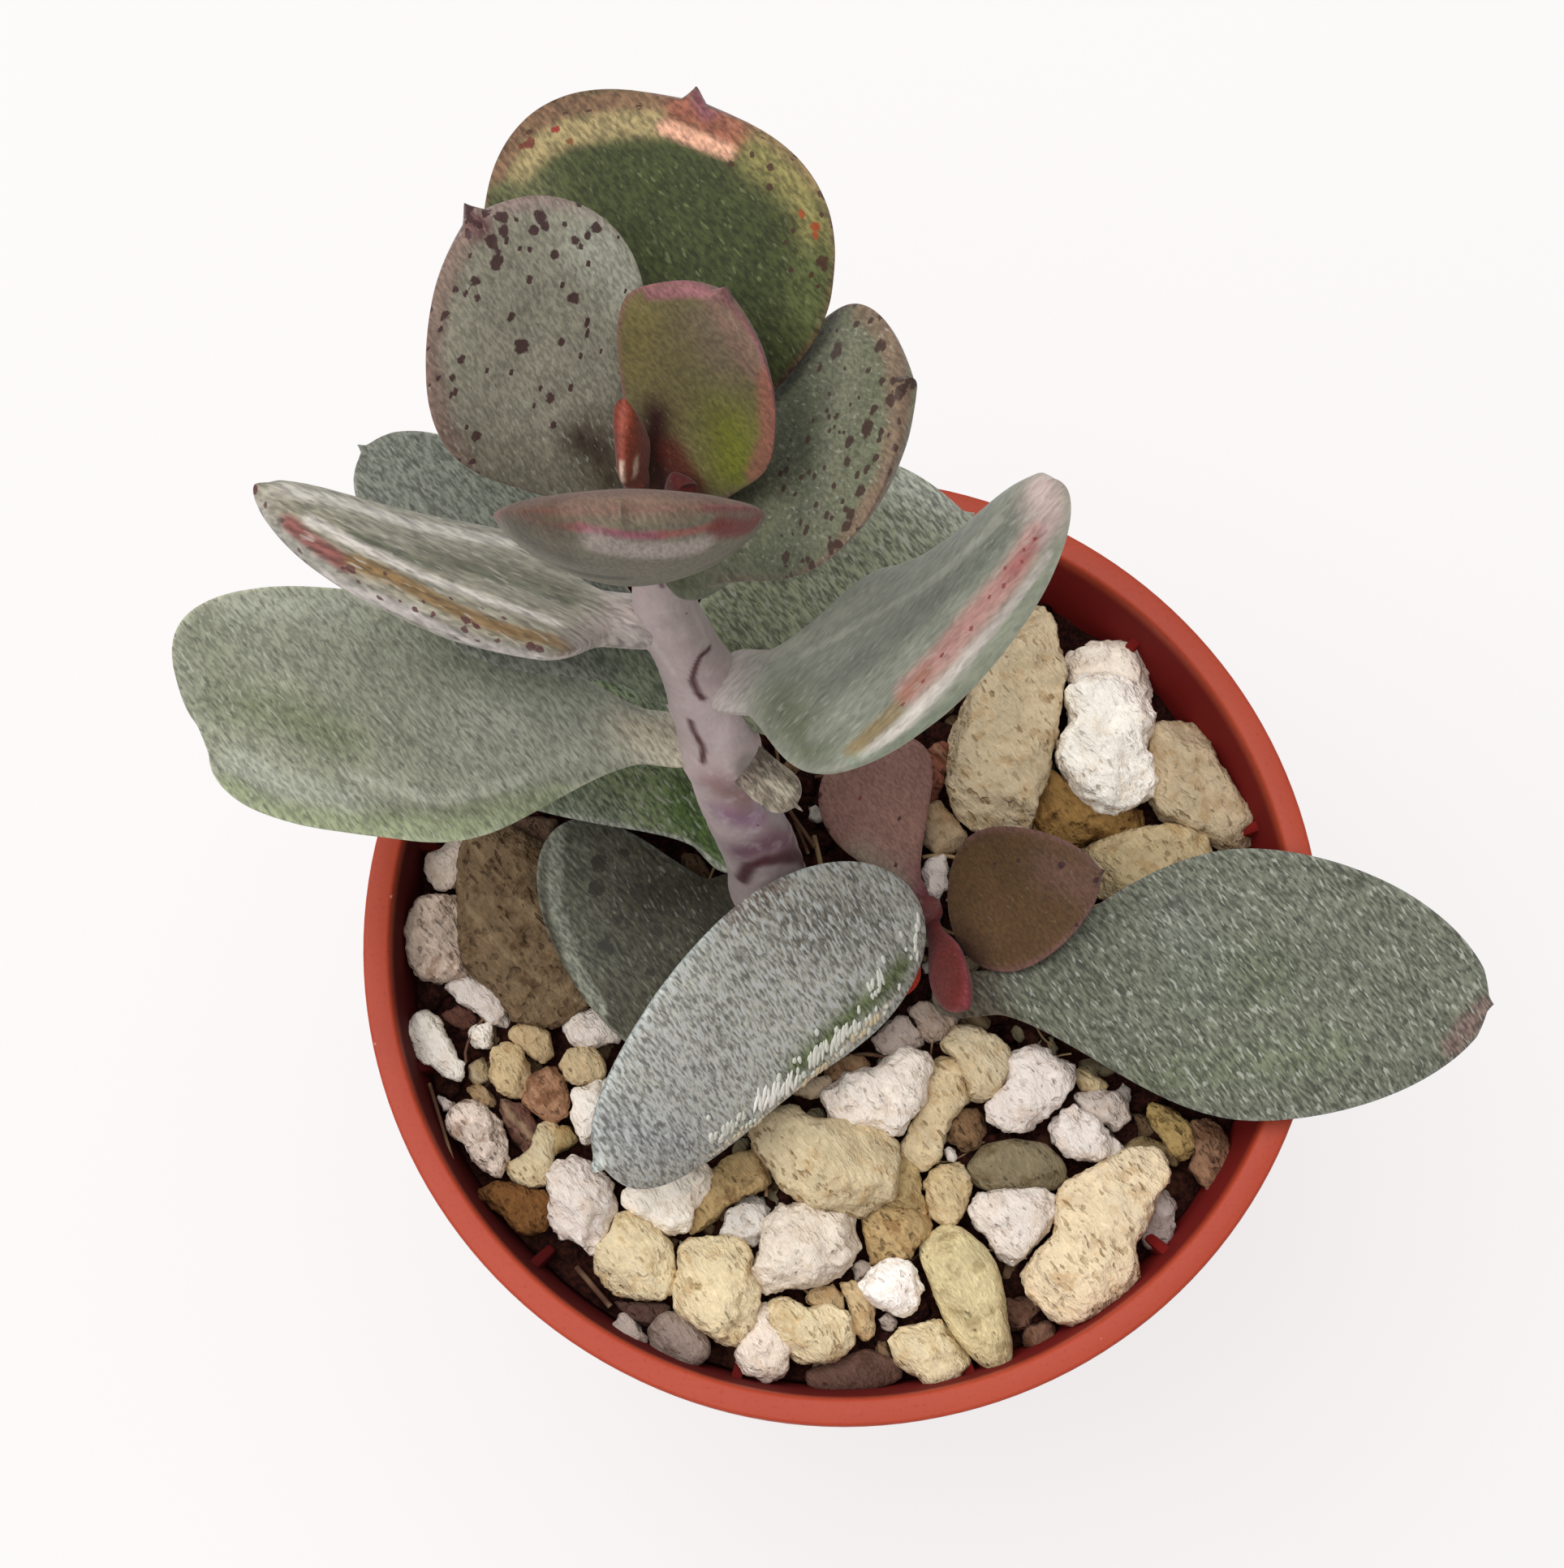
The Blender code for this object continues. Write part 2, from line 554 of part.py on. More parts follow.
def make_potting_mix(parts, helpers):
    earth = finish_material("potting_mix", (0.180, 0.140, 0.090), 0.95)
    bottom = FLOOR + CLEARANCE
    wall_gap = CLEARANCE + INNER_FILLET / 2
    edge = inner_radius(FILL_HEIGHT) - CLEARANCE
    profile = [(radius, FILL_HEIGHT) for radius in MIX_RINGS]
    profile += [(edge, FILL_HEIGHT), (inner_radius(bottom) - wall_gap, bottom), (0.0, bottom)]
    mix = turned("potting_mix", profile, MIX_STEPS, parts, earth)
    apply_modifiers(mix)
    for vertex in mix.data.vertices:
        if vertex.co.z > FILL_HEIGHT / 2:
            vertex.co.z = mix_height(vertex.co.x, vertex.co.y)
    grit = new_collection("grit")
    add_grit(grit)
    add_boolean(mix, "Grit", "UNION", tools=grit, solver="MANIFOLD")
    add_boolean(mix, "Inside the wall", "INTERSECT", tool=pot_room(helpers), solver="MANIFOLD")
    apply_modifiers(mix)
    for stone in list(grit.objects):
        bpy.data.objects.remove(stone, do_unlink=True)
    bpy.data.collections.remove(grit)
    slots = rib_blocks(
        "rib_slots",
        thickness=RIB_THICKNESS + 2 * CLEARANCE,
        depth=RIB_DEPTH + CLEARANCE,
        bottom=RIB_BOTTOM - CLEARANCE,
        top=POT_HEIGHT,
        slope=0.0,
        collection=helpers,
    )
    cuts = (
        ("Rib slots", slots),
        ("Main stem hole", stem_cutter("main_stem_hole", MAIN_STEM, helpers)),
        ("Pup stem hole", stem_cutter("pup_stem_hole", PUP_STEM, helpers)),
    )
    for label, tool in cuts:
        add_boolean(mix, label, "DIFFERENCE", tool=tool, solver="MANIFOLD")
    apply_modifiers(mix)
    drop_scraps(mix.data)
    return mix


def on_stem(route, height):
    """The middle and the radius of a stem at a height."""
    for (low, low_radius), (high, high_radius) in zip(route, route[1:]):
        if low[2] <= height <= high[2]:
            share = (height - low[2]) / (high[2] - low[2])
            return Vector(low).lerp(Vector(high), share), low_radius + (high_radius - low_radius) * share
    raise ValueError(f"no stem at {height}")


def heading_vector(heading, rise):
    flat = math.cos(math.radians(rise))
    turn = math.radians(heading)
    return Vector((flat * math.cos(turn), flat * math.sin(turn), math.sin(math.radians(rise))))


def smooth_step(value):
    value = min(1.0, max(0.0, value))
    return value * value * (3 - 2 * value)


class LeafShape:
    """A fleshy leaf: a lens-shaped section carried along a curved spine."""

    def __init__(self, settings, stems):
        self.s = {**LEAF_DEFAULTS, **settings}
        if "base" in self.s:
            start = Vector(self.s["base"])
        else:
            middle, radius = on_stem(stems[self.s["stem"]], self.s["height"])
            start = middle + heading_vector(self.s["heading"], 0) * (radius + self.s["gap"])
        step = self.s["length"] / SPINE_STEPS
        self.spine = [start]
        for i in range(SPINE_STEPS):
            self.spine.append(self.spine[-1] + self.direction((i + 0.5) / SPINE_STEPS) * step)

    def direction(self, along):
        s = self.s
        return heading_vector(s["heading"] + s["sweep"] * along, s["rise"] + s["bend"] * along)

    def axes(self, along):
        """The sideways and upward directions of the section."""
        forward = self.direction(along)
        level = heading_vector(self.s["heading"] + self.s["sweep"] * along - 90, 0)
        turn = Matrix.Rotation(math.radians(self.s["roll"] + self.s["twist"] * along), 3, forward)
        return turn @ level, turn @ level.cross(forward)

    def place(self, along):
        position = min(along, 1.0) * SPINE_STEPS
        index = min(int(position), SPINE_STEPS - 1)
        return self.spine[index].lerp(self.spine[index + 1], position - index)

    def half_width(self, along):
        s = self.s
        full = s["width"] / 2
        if along > s["broad"]:
            tip_start = 1 - s["mucro"] / s["length"]
            reach = min(1.0, (along - s["broad"]) / (tip_start - s["broad"]))
            blade = full * max(0.0, 1 - reach ** s["tip_power"]) ** (1 / s["tip_power"])
            left = (1 - along) * s["length"] / (POINT_LENGTH * s["mucro"])
            return math.hypot(blade, POINT_WIDTH * full * min(1.0, left) ** POINT_POWER)
        if s["round_base"]:
            return full * math.sqrt(max(0.0, 1 - (1 - along / s["broad"]) ** ROUND_BASE_POWER))
        widening = min(1.0, max(0.0, (along - STALK_END) / (s["broad"] - STALK_END)))
        return s["stalk"] + (full - s["stalk"]) * math.sin(widening * math.pi / 2) ** WIDENING_POWER

    def thickness(self, along):
        s = self.s
        if along > TIP_THINS:
            power, root = TIP_CURVE
            reach = min(1.0, (along - TIP_THINS) / (1 - TIP_THINS))
            least, least_root = TIP_LEAST
            return s["thick"] * max((1 - reach**power) ** root, least * (1 - along) ** least_root)
        if s["round_base"]:
            power, root = ROUND_BASE_CURVE
            return s["thick"] * max(0.0, 1 - (1 - min(along / ROUND_BASE_DEPTH, 1)) ** power) ** root
        swell = smooth_step(along / FULL_DEPTH)
        return STALK_DEPTH * s["stalk"] * (1 - swell) + s["thick"] * swell

    def point(self, along, around):
        """A point of the surface: around is 0 at the right margin and pi / 2 on the upper face."""
        s = self.s
        side, up = self.axes(along)
        across = math.cos(around) * self.half_width(along)
        lean = s["lean"] * s["width"] / 2 * smooth_step((along - LEAN_START) / (1 - LEAN_START))
        raised = math.sin(around)
        share = UPPER_SHARE if raised > 0 else 1 - UPPER_SHARE
        lift = math.copysign(abs(raised) ** MARGIN_POWER, raised) * share * self.thickness(along)
        lift += s["cup"] * across * across / (s["width"] / 2)
        return self.place(along) + side * (across + lean) + up * lift


def make_leaf(name, settings, stems, parts):
    shape = LeafShape(settings, stems)
    small = settings["length"] < SMALL_LEAF
    bm = bmesh.new()
    bmesh.ops.create_uvsphere(
        bm,
        u_segments=SMALL_LEAF_SIDES if small else LEAF_SIDES,
        v_segments=SMALL_LEAF_RINGS if small else LEAF_RINGS,
        radius=1.0,
    )
    for vertex in bm.verts:
        along = (1 + vertex.co.z) / 2
        vertex.co = shape.point(along, math.atan2(vertex.co.y, vertex.co.x))
    bmesh.ops.reverse_faces(bm, faces=bm.faces)
    material = finish_material(name, settings["colour"], 0.6)
    return bmesh_object(name, bm, parts, material, smooth=True)


def make_stems(stems, parts):
    colours = {"main_stem": (0.390, 0.300, 0.330), "pup_stem": (0.350, 0.150, 0.130)}
    for name, route in stems.items():
        stem_curve(name, route, 0.0, parts, finish_material(name, colours[name], 0.5))


def main():
    clear_scene()
    parts = new_collection("potted_adromischus")
    helpers = new_collection("cutters", helper=True)
    stems = {"main_stem": MAIN_STEM, "pup_stem": PUP_STEM}
    make_pot(parts, helpers)
    make_potting_mix(parts, helpers)
    make_stems(stems, parts)
    make_leaf("dry_leaf_base", DRY_LEAF_BASE, stems, parts)
    for name, settings in LEAVES.items():
        make_leaf(name, settings, stems, parts)


main()
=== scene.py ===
import math
import random

import bpy
import numpy as np
from mathutils import Matrix, Vector, noise


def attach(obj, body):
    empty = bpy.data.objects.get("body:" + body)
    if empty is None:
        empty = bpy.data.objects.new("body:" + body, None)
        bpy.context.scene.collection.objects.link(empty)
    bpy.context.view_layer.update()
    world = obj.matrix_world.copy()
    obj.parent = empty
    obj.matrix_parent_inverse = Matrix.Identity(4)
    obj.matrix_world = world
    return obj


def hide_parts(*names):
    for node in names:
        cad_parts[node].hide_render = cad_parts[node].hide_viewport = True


# A young adromischus in a small plastic pot of gritty mix. Sizes are in millimetres and angles in degrees.
# Places on the plant that are written as two whole numbers are the photograph's pixels, across and down.

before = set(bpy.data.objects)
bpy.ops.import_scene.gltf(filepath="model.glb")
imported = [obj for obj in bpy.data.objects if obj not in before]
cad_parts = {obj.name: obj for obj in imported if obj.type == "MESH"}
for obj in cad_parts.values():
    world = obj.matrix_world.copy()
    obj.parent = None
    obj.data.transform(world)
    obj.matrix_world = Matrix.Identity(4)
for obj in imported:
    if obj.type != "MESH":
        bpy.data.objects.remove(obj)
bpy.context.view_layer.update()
mm = 0.001  # one millimetre in the frame's metres

cameraView = dict(
    place=(-3.8, -28.7, 216.9),
    tilt=12.69,
    lean=-0.10,
    lens=67.8,
    sensor=36.0,
    photoWide=1927,
    photoHigh=1932,
)


# Helpers for meshes

def clearSelection():
    if bpy.context.object and bpy.context.object.mode != "OBJECT":
        bpy.ops.object.mode_set(mode="OBJECT")
    bpy.ops.object.select_all(action="DESELECT")


def onlySelect(pieces):
    clearSelection()
    for piece in pieces:
        piece.select_set(True)
    bpy.context.view_layer.objects.active = pieces[0]


def applyAll(piece):
    onlySelect([piece])
    for modifier in list(piece.modifiers):
        bpy.ops.object.modifier_apply(modifier=modifier.name)


def addModifier(piece, kind, **settings):
    modifier = piece.modifiers.new(kind.title(), kind)
    for key, value in settings.items():
        setattr(modifier, key, value)
    return modifier


def joinPieces(name, pieces):
    onlySelect(pieces)
    if len(pieces) > 1:
        bpy.ops.object.join()
    piece = bpy.context.object
    piece.name = name
    piece.data.name = name
    return piece


def readPoints(mesh):
    flat = np.empty(len(mesh.vertices) * 3, np.float32)
    mesh.vertices.foreach_get("co", flat)
    return flat.reshape(-1, 3).astype(float)


def writePoints(mesh, points):
    mesh.vertices.foreach_set("co", points.astype(np.float32).ravel())
    mesh.update()


def addBall(name, look):
    # the start of a stem or leaf
    clearSelection()
    bpy.ops.mesh.primitive_uv_sphere_add(segments=look["sides"], ring_count=look["rings"], radius=1)
    bpy.context.object.name = name
    return bpy.context.object


def copyOf(mould):
    copy = mould.copy()
    copy.data = mould.data.copy()
    bpy.context.collection.objects.link(copy)
    return copy


def removeAll(pieces):
    for piece in pieces:
        bpy.data.objects.remove(piece)


def settle(piece):
    # moves the piece's place into its mesh
    onlySelect([piece])
    bpy.ops.object.transform_apply(location=True, rotation=True, scale=True)


def closeOutwards():
    # turns every face of the mesh in edit mode outwards, and leaves edit mode
    bpy.ops.mesh.select_all(action="SELECT")
    bpy.ops.mesh.normals_make_consistent(inside=False)
    bpy.ops.object.mode_set(mode="OBJECT")


def onDisc(rng, reach):
    # a place anywhere on a round bed
    radius = reach * math.sqrt(rng.random())
    angle = rng.uniform(0, 2 * math.pi)
    return radius * math.cos(angle), radius * math.sin(angle)


def tossed(rng, tilt):
    # any turn about the upright, and a small one off it
    return Matrix.Rotation(rng.uniform(0, 6.28), 4, "Z") @ Matrix.Rotation(rng.uniform(-tilt, tilt), 4, "X")


def finishPiece(piece, material, node=None):
    # smooth shading, material, and its place in the frame
    piece.data.materials.clear()
    piece.data.materials.append(material)
    piece.data.shade_smooth()
    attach(piece, "root")
    if node:
        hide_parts(node)
    return piece


def roughness3d(point, size):
    # smooth noise between -1 and 1, with bumps of about that size
    return noise.noise(Vector(point) / size)


def smoothStep(value):
    value = np.clip(value, 0.0, 1.0)
    return value * value * (3 - 2 * value)


# The photograph's view, which the camera and the marks on the leaves share

def viewAxes():
    tilt = Matrix.Rotation(math.radians(cameraView["tilt"]), 3, "X")
    return tilt @ Matrix.Rotation(math.radians(cameraView["lean"]), 3, "Y")


def focalPixels():
    return cameraView["lens"] / cameraView["sensor"] * cameraView["photoHigh"]


def photoPlace(points):
    # where points in millimetres show in the photograph: across, down and how far off
    view = cameraView
    focal = focalPixels()
    seen = (points - np.array(view["place"])) @ np.array(viewAxes())
    away = -seen[:, 2]
    across = view["photoWide"] / 2 + focal * seen[:, 0] / away
    down = view["photoHigh"] / 2 - focal * seen[:, 1] / away
    return across, down, away


def placeAt(at, height):
    # the point at that height, in millimetres, that shows at this pixel
    view = cameraView
    focal = focalPixels()
    aside = (at[0] - view["photoWide"] / 2) / focal
    upward = (view["photoHigh"] / 2 - at[1]) / focal
    ray = np.array(viewAxes()) @ np.array([aside, upward, -1])
    return np.array(view["place"]) + ray * (height - view["place"][2]) / ray[2]


# Materials

def colour(code):
    # a colour as it looks on a screen, such as B9C4B8, in the light values that Blender mixes
    parts = [int(code[i : i + 2], 16) / 255 for i in (0, 2, 4)]
    return np.array([p / 12.92 if p <= 0.04045 else ((p + 0.055) / 1.055) ** 2.4 for p in parts])


class Wire:
    # a socket that can be used in sums, such as 1 - mask
    def __init__(self, paint, socket):
        self.paint = paint
        self.socket = socket

    def sum(self, operation, first, second):
        return self.paint.node("ShaderNodeMath", {"operation": operation}, {0: first, 1: second})

    def __add__(self, other):
        return self.sum("ADD", self, other)

    def __radd__(self, other):
        return self.sum("ADD", other, self)

    def __sub__(self, other):
        return self.sum("SUBTRACT", self, other)

    def __rsub__(self, other):
        return self.sum("SUBTRACT", other, self)

    def __mul__(self, other):
        return self.sum("MULTIPLY", self, other)

    def __rmul__(self, other):
        return self.sum("MULTIPLY", other, self)

    def rise(self, low, high):
        # 0 below low, 1 above high and smooth between
        return self.paint.node(
            "ShaderNodeMapRange",
            {"interpolation_type": "SMOOTHSTEP"},
            {"Value": self, "From Min": low, "From Max": high},
        )


class Paint:
    # one material, and the nodes that make its colours
    def __init__(self, name, fixed):
        self.material = bpy.data.materials.new(name)
        self.material.use_nodes = True
        self.nodes = self.material.node_tree.nodes
        self.surface = self.nodes["Principled BSDF"]
        for socket, value in fixed.items():
            self.surface.inputs[socket].default_value = value

    def feed(self, socket, value):
        if isinstance(value, Wire):
            self.material.node_tree.links.new(value.socket, socket)
        elif isinstance(value, str):
            socket.default_value = (*colour(value), 1.0)
        else:
            socket.default_value = value

    def node(self, kind, settings=None, inputs=None, output=0):
        made = self.nodes.new(kind)
        for key, value in (settings or {}).items():
            setattr(made, key, value)
        for key, value in (inputs or {}).items():
            self.feed(made.inputs[key], value)
        return Wire(self, made.outputs[output])

    def place(self):
        return self.node("ShaderNodeTexCoord", output="Object")

    def streaked(self, heading, stretch):
        # places that draw a pattern out along a heading
        return self.node(
            "ShaderNodeMapping",
            {"vector_type": "TEXTURE"},
            {
                "Vector": self.place(),
                "Rotation": (0, 0, math.radians(heading)),
                "Scale": (stretch, 1, stretch),
            },
        )

    def grain(self, where, size, detail=2.0, rough=0.5):
        # noise between 0 and 1 whose bumps are about that many millimetres wide
        return self.node(
            "ShaderNodeTexNoise",
            {},
            {"Vector": where, "Scale": 1 / (size * mm), "Detail": detail, "Roughness": rough},
        )

    def level(self, place):
        # the same places with no height
        return self.node("ShaderNodeVectorMath", {"operation": "MULTIPLY"}, {0: place, 1: (1, 1, 0)})

    def attribute(self, name, output):
        return self.node("ShaderNodeAttribute", {"attribute_name": name}, output=output)

    def spots(self, size, ragged):
        # where the painted spots are, with an outline that is rough at that size
        rough = self.grain(self.place(), size)
        return (self.attribute("spot", "Fac") + (rough - 0.5) * ragged).rise(0.0, 0.3)

    def mix(self, first, second, share, how="MIX"):
        return self.node(
            "ShaderNodeMix",
            {"data_type": "RGBA", "blend_type": how},
            {0: share, 6: first, 7: second},
            output=2,
        )

    def brighter(self, shade, times):
        return self.node("ShaderNodeVectorMath", {"operation": "SCALE"}, {0: shade, "Scale": times})

    def finish(self, shade, rough=None, height=None, depth=0.05, strength=1.0):
        # depth is the height of the relief in millimetres
        self.feed(self.surface.inputs["Base Color"], shade)
        if rough is not None:
            self.feed(self.surface.inputs["Roughness"], rough)
        if height is not None:
            bump = self.node(
                "ShaderNodeBump", {}, {"Strength": strength, "Distance": depth * mm, "Height": height}
            )
            self.feed(self.surface.inputs["Normal"], bump)
        return self.material


streakHeading = -52  # the fine marks on leaves and stones are drawn out this way

leafFinishes = {
    # grain: width of the marks in mm; stretch: how long they are drawn; heading: which way, in degrees;
    # deep: how much the tone varies; flecks, specks: how strong the pale and dark marks are
    "stippled": dict(
        grain=0.17, stretch=3.2, deep=0.50, flecks=0.85, fleckAt=0.58, fleckTone="A6A99C", specks=0.9,
    ),
    "soft": dict(
        grain=0.17, stretch=3.0, deep=0.45, flecks=0.40, fleckAt=0.60, fleckTone="9A9C90", specks=0.8,
    ),
    "pale": dict(
        grain=0.17, stretch=3.2, deep=0.28, flecks=0.50, fleckAt=0.60, fleckTone="B5B7A8", specks=0.65,
    ),
    "smooth": dict(
        grain=0.16, stretch=4.0, deep=0.13, flecks=0.3, fleckAt=0.60, fleckTone="C2C2B6", specks=0.3,
        heading=44,
    ),
    "furrowed": dict(
        grain=0.22, stretch=3.8, deep=0.32, flecks=0.45, fleckAt=0.60, fleckTone="C4BFB4", specks=0.7,
        heading=-26,
    ),
    "spotted": dict(
        grain=0.16, stretch=2.6, deep=0.26, flecks=0.40, fleckAt=0.61, fleckTone="ACAB9C", specks=0.4,
    ),
    "sunned": dict(
        grain=0.17, stretch=2.8, deep=0.38, flecks=0.45, fleckAt=0.62, fleckTone="80865C", specks=0.6,
    ),
    "silver": dict(
        grain=0.16, stretch=3.2, deep=0.50, flecks=1.0, fleckAt=0.50, fleckTone="BEC0BC", specks=0.85,
    ),
    "young": dict(
        grain=0.15, stretch=2.2, deep=0.20, flecks=0.22, fleckAt=0.66, fleckTone="A0907E", specks=0.35,
    ),
    "dry": dict(
        grain=0.16, stretch=3.5, deep=0.45, flecks=0.8, fleckAt=0.56, fleckTone="C8BCA8", specks=1.0,
    ),
}


leafSkin = dict(
    broadSize=2.0, broadDeep=0.5, speckAt=(0.58, 0.72), speckTone=0.38, fleckOver=0.14, fleckRelief=0.8,
    spotEdge=0.35, ragged=1.3, spotDeep=0.92, rough=0.66, spotGloss=0.12, depth=0.04, strength=0.5,
)


def leafPaint(name, look):
    skin = leafSkin
    paint = Paint(name, {"Roughness": 0.6, "IOR": 1.45, "Specular IOR Level": 0.35, "Sheen Weight": 0.12})
    tint = paint.attribute("tint", "Color")
    heading = look.get("heading", streakHeading)

    def marks(turn, longer, wider, detail):
        where = paint.streaked(heading + turn, look["stretch"] * longer)
        return paint.grain(where, look["grain"] * wider, detail)

    fine = marks(0, 1, 1, 2.0).rise(0.30, 0.70)
    broad = paint.grain(paint.place(), skin["broadSize"])
    tone = 1 - look["deep"] + fine * (2 * look["deep"]) + (broad - 0.5) * skin["broadDeep"]
    shade = paint.brighter(tint, tone)
    speck = (1 - marks(4, 0.9, 1.3, 1.0)).rise(*skin["speckAt"]) * look["specks"]
    shade = paint.mix(shade, paint.brighter(tint, skin["speckTone"]), speck)
    fleck = marks(-3, 1.1, 1.1, 1.0).rise(look["fleckAt"], look["fleckAt"] + skin["fleckOver"])
    fleck = fleck * paint.attribute("bloom", "Fac") * look["flecks"]
    shade = paint.mix(shade, look["fleckTone"], fleck)
    spot = paint.spots(skin["spotEdge"], skin["ragged"])
    shade = paint.mix(shade, paint.attribute("spotTint", "Color"), spot * skin["spotDeep"])
    rough = skin["rough"] - spot * skin["spotGloss"]
    return paint.finish(shade, rough, fine + fleck * skin["fleckRelief"], skin["depth"], skin["strength"])


def makeLeafPaints():
    return {name: leafPaint(name + "Leaf", look) for name, look in leafFinishes.items()}


# Colouring a piece point by point

pinning = dict(near=10.0, slack=2.0, pull=0.05)  # how a pixel finds its point: in pixels, and mm per pixel
crispBelow = 0.9  # strokes narrower than this, in millimetres, have a crisp edge, and wider ones a soft one


def storeValues(mesh, name, values):
    # one number or one colour for each point
    if values.ndim == 1:
        layer = mesh.attributes.new(name, "FLOAT", "POINT")
        layer.data.foreach_set("value", values.astype(np.float32))
    else:
        layer = mesh.attributes.new(name, "FLOAT_COLOR", "POINT")
        layer.data.foreach_set("color", np.c_[values, np.ones(len(values))].astype(np.float32).ravel())


def addTint(piece, code, tone):
    mesh = piece.data
    storeValues(mesh, "tint", np.tile(colour(code) * tone, (len(mesh.vertices), 1)))


class Canvas:
    def __init__(self, piece, base):
        self.piece = piece
        self.points = readPoints(piece.data) / mm
        self.across, self.down, self.away = photoPlace(self.points)
        count = len(self.points)
        self.tint = np.tile(colour(base), (count, 1))
        self.bloom = np.ones(count)
        self.spot = np.full(count, -1.0)
        self.spotTint = np.tile(colour("4A2A26"), (count, 1))

    def seen(self, at):
        # which point of the piece shows at this pixel
        off = np.hypot(self.across - at[0], self.down - at[1])
        near = off < max(pinning["near"], off.min() + pinning["slack"])
        return int(np.argmin(np.where(near, self.away + off * pinning["pull"], np.inf)))

    def pin(self, at):
        return self.points[self.seen(at)]

    def reach(self, pixels):
        # each point's distance from a line through these pixels' places, in millimetres
        pins = [self.pin(at) for at in pixels]
        best = np.linalg.norm(self.points - pins[0], axis=1)
        for start, end in zip(pins, pins[1:]):
            run = end - start
            share = np.clip((self.points - start) @ run / max(run @ run, 1e-9), 0, 1)
            best = np.minimum(best, np.linalg.norm(self.points - (start + share[:, None] * run), axis=1))
        return best

    def wash(self, code, weight):
        self.tint += np.clip(weight, 0, 1)[:, None] * (colour(code) - self.tint)

    def stroke(self, code, width, strength, *pixels):
        falloff = 4 if width < crispBelow else 2
        self.wash(code, strength * np.exp(-((self.reach(pixels) / width) ** falloff)))

    def bare(self, width, strength, *pixels):
        # less of the waxy bloom, or more where strength is negative
        self.bloom -= strength * np.exp(-((self.reach(pixels) / width) ** 2))

    def dot(self, middle, size, code):
        # spots are written as how far inside them a point is, and the material roughens their outline
        inside = 1 - np.linalg.norm(self.points - middle, axis=1) / (size / 2)
        closer = inside > self.spot
        self.spot[closer] = inside[closer]
        self.spotTint[closer] = colour(code)

    def store(self):
        for name in ("tint", "spotTint", "bloom", "spot"):
            storeValues(self.piece.data, name, getattr(self, name))


# The stems

stems = {
    "main_stem": [
        ((-3.0, 0.2, 36.0), 1.9),
        ((-3.4, 1.6, 44.0), 2.2),
        ((-3.9, 2.3, 48.5), 2.2),
        ((-4.7, 4.2, 53.5), 2.1),
        ((-6.0, 6.0, 59.0), 2.0),
        ((-6.7, 7.4, 63.5), 2.0),
        ((-7.4, 9.2, 68.0), 1.9),
        ((-8.4, 10.7, 73.0), 1.7),
        ((-9.3, 11.9, 77.5), 1.5),
        ((-9.6, 13.4, 82.0), 1.2),
        ((-9.7, 14.1, 85.5), 0.8),
    ],
    "pup_stem": [
        ((5.2, 1.8, 38.0), 0.9),
        ((5.0, 2.0, 44.0), 0.9),
        ((5.0, 2.0, 47.8), 0.8),
    ],
}

stemLooks = {
    "main_stem": dict(
        sides=72, rings=260, base="B8A6A5", node=0.28, nodeReach=1.2, wobble=0.09,
        strokes=[
            ("66344E", 1.25, 0.9, (914, 1060), (950, 1046), (986, 1040)),
            ("86587A", 1.1, 0.8, (890, 1010), (940, 1015)),
            ("8A605E", 1.1, 0.75, (880, 975), (930, 990)),
            # the next five pale strokes are painted highlights on the stem
            ("C6B6B6", 1.2, 0.8, (880, 880), (895, 915)),
            ("B9ABA6", 0.9, 0.6, (820, 745), (845, 780)),
            ("C9BBB6", 0.22, 0.8, (785, 768), (802, 800), (824, 838)),
            ("C9BBB6", 0.20, 0.7, (860, 735), (868, 765), (880, 795)),
            ("C6B4B0", 0.25, 0.7, (830, 956), (846, 988), (868, 1012)),
            ("4A0C1C", 0.50, 1.0, (908, 1092), (922, 1076), (946, 1067), (972, 1061), (992, 1053),
             (1002, 1062)),
            ("4A0C1C", 0.20, 1.0, (884, 800), (872, 812), (863, 826), (853, 847), (860, 862), (867, 869)),
            ("4A0C1C", 0.20, 1.0, (844, 894), (850, 911), (860, 926), (865, 934), (862, 948)),
            ("4E1020", 0.13, 0.8, (812, 722), (820, 732)),
            ("6A3A40", 0.12, 0.8, (850, 726), (852, 734)),
            ("8C8078", 0.7, 0.8, (925, 945), (945, 975)),
            ("A59AA0", 0.5, 0.7, (945, 985), (975, 1010)),
        ],
        spots=[
            (950, 985, 0.3), (958, 997, 0.28), (940, 975, 0.3), (853, 762, 0.22), (942, 1022, 0.2),
        ],
    ),
    "pup_stem": dict(
        sides=28, rings=50, base="6A302C", node=0.15, nodeReach=0.8, wobble=0.04,
        strokes=[],
        spots=[],
    ),
}
stemForm = dict(
    nodeDrop=0.3, nodePower=4, grainReach=3, broadGrain=1.9, fineGrain=0.7, fineShare=0.5, endRound=1.5,
    scarWidth=0.6, scarBare=1.2, spotTone="5A3444",
)
stemSkin = dict(
    tone=0.72, fineDeep=0.22, broadDeep=0.34, frostAt=(0.52, 0.75), frostTone="D0C6CA", frostDeep=0.35,
    spotEdge=0.3, ragged=0.8, spotDeep=0.8, rough=0.62, frostGloss=0.1, depth=0.06, strength=0.6,
)


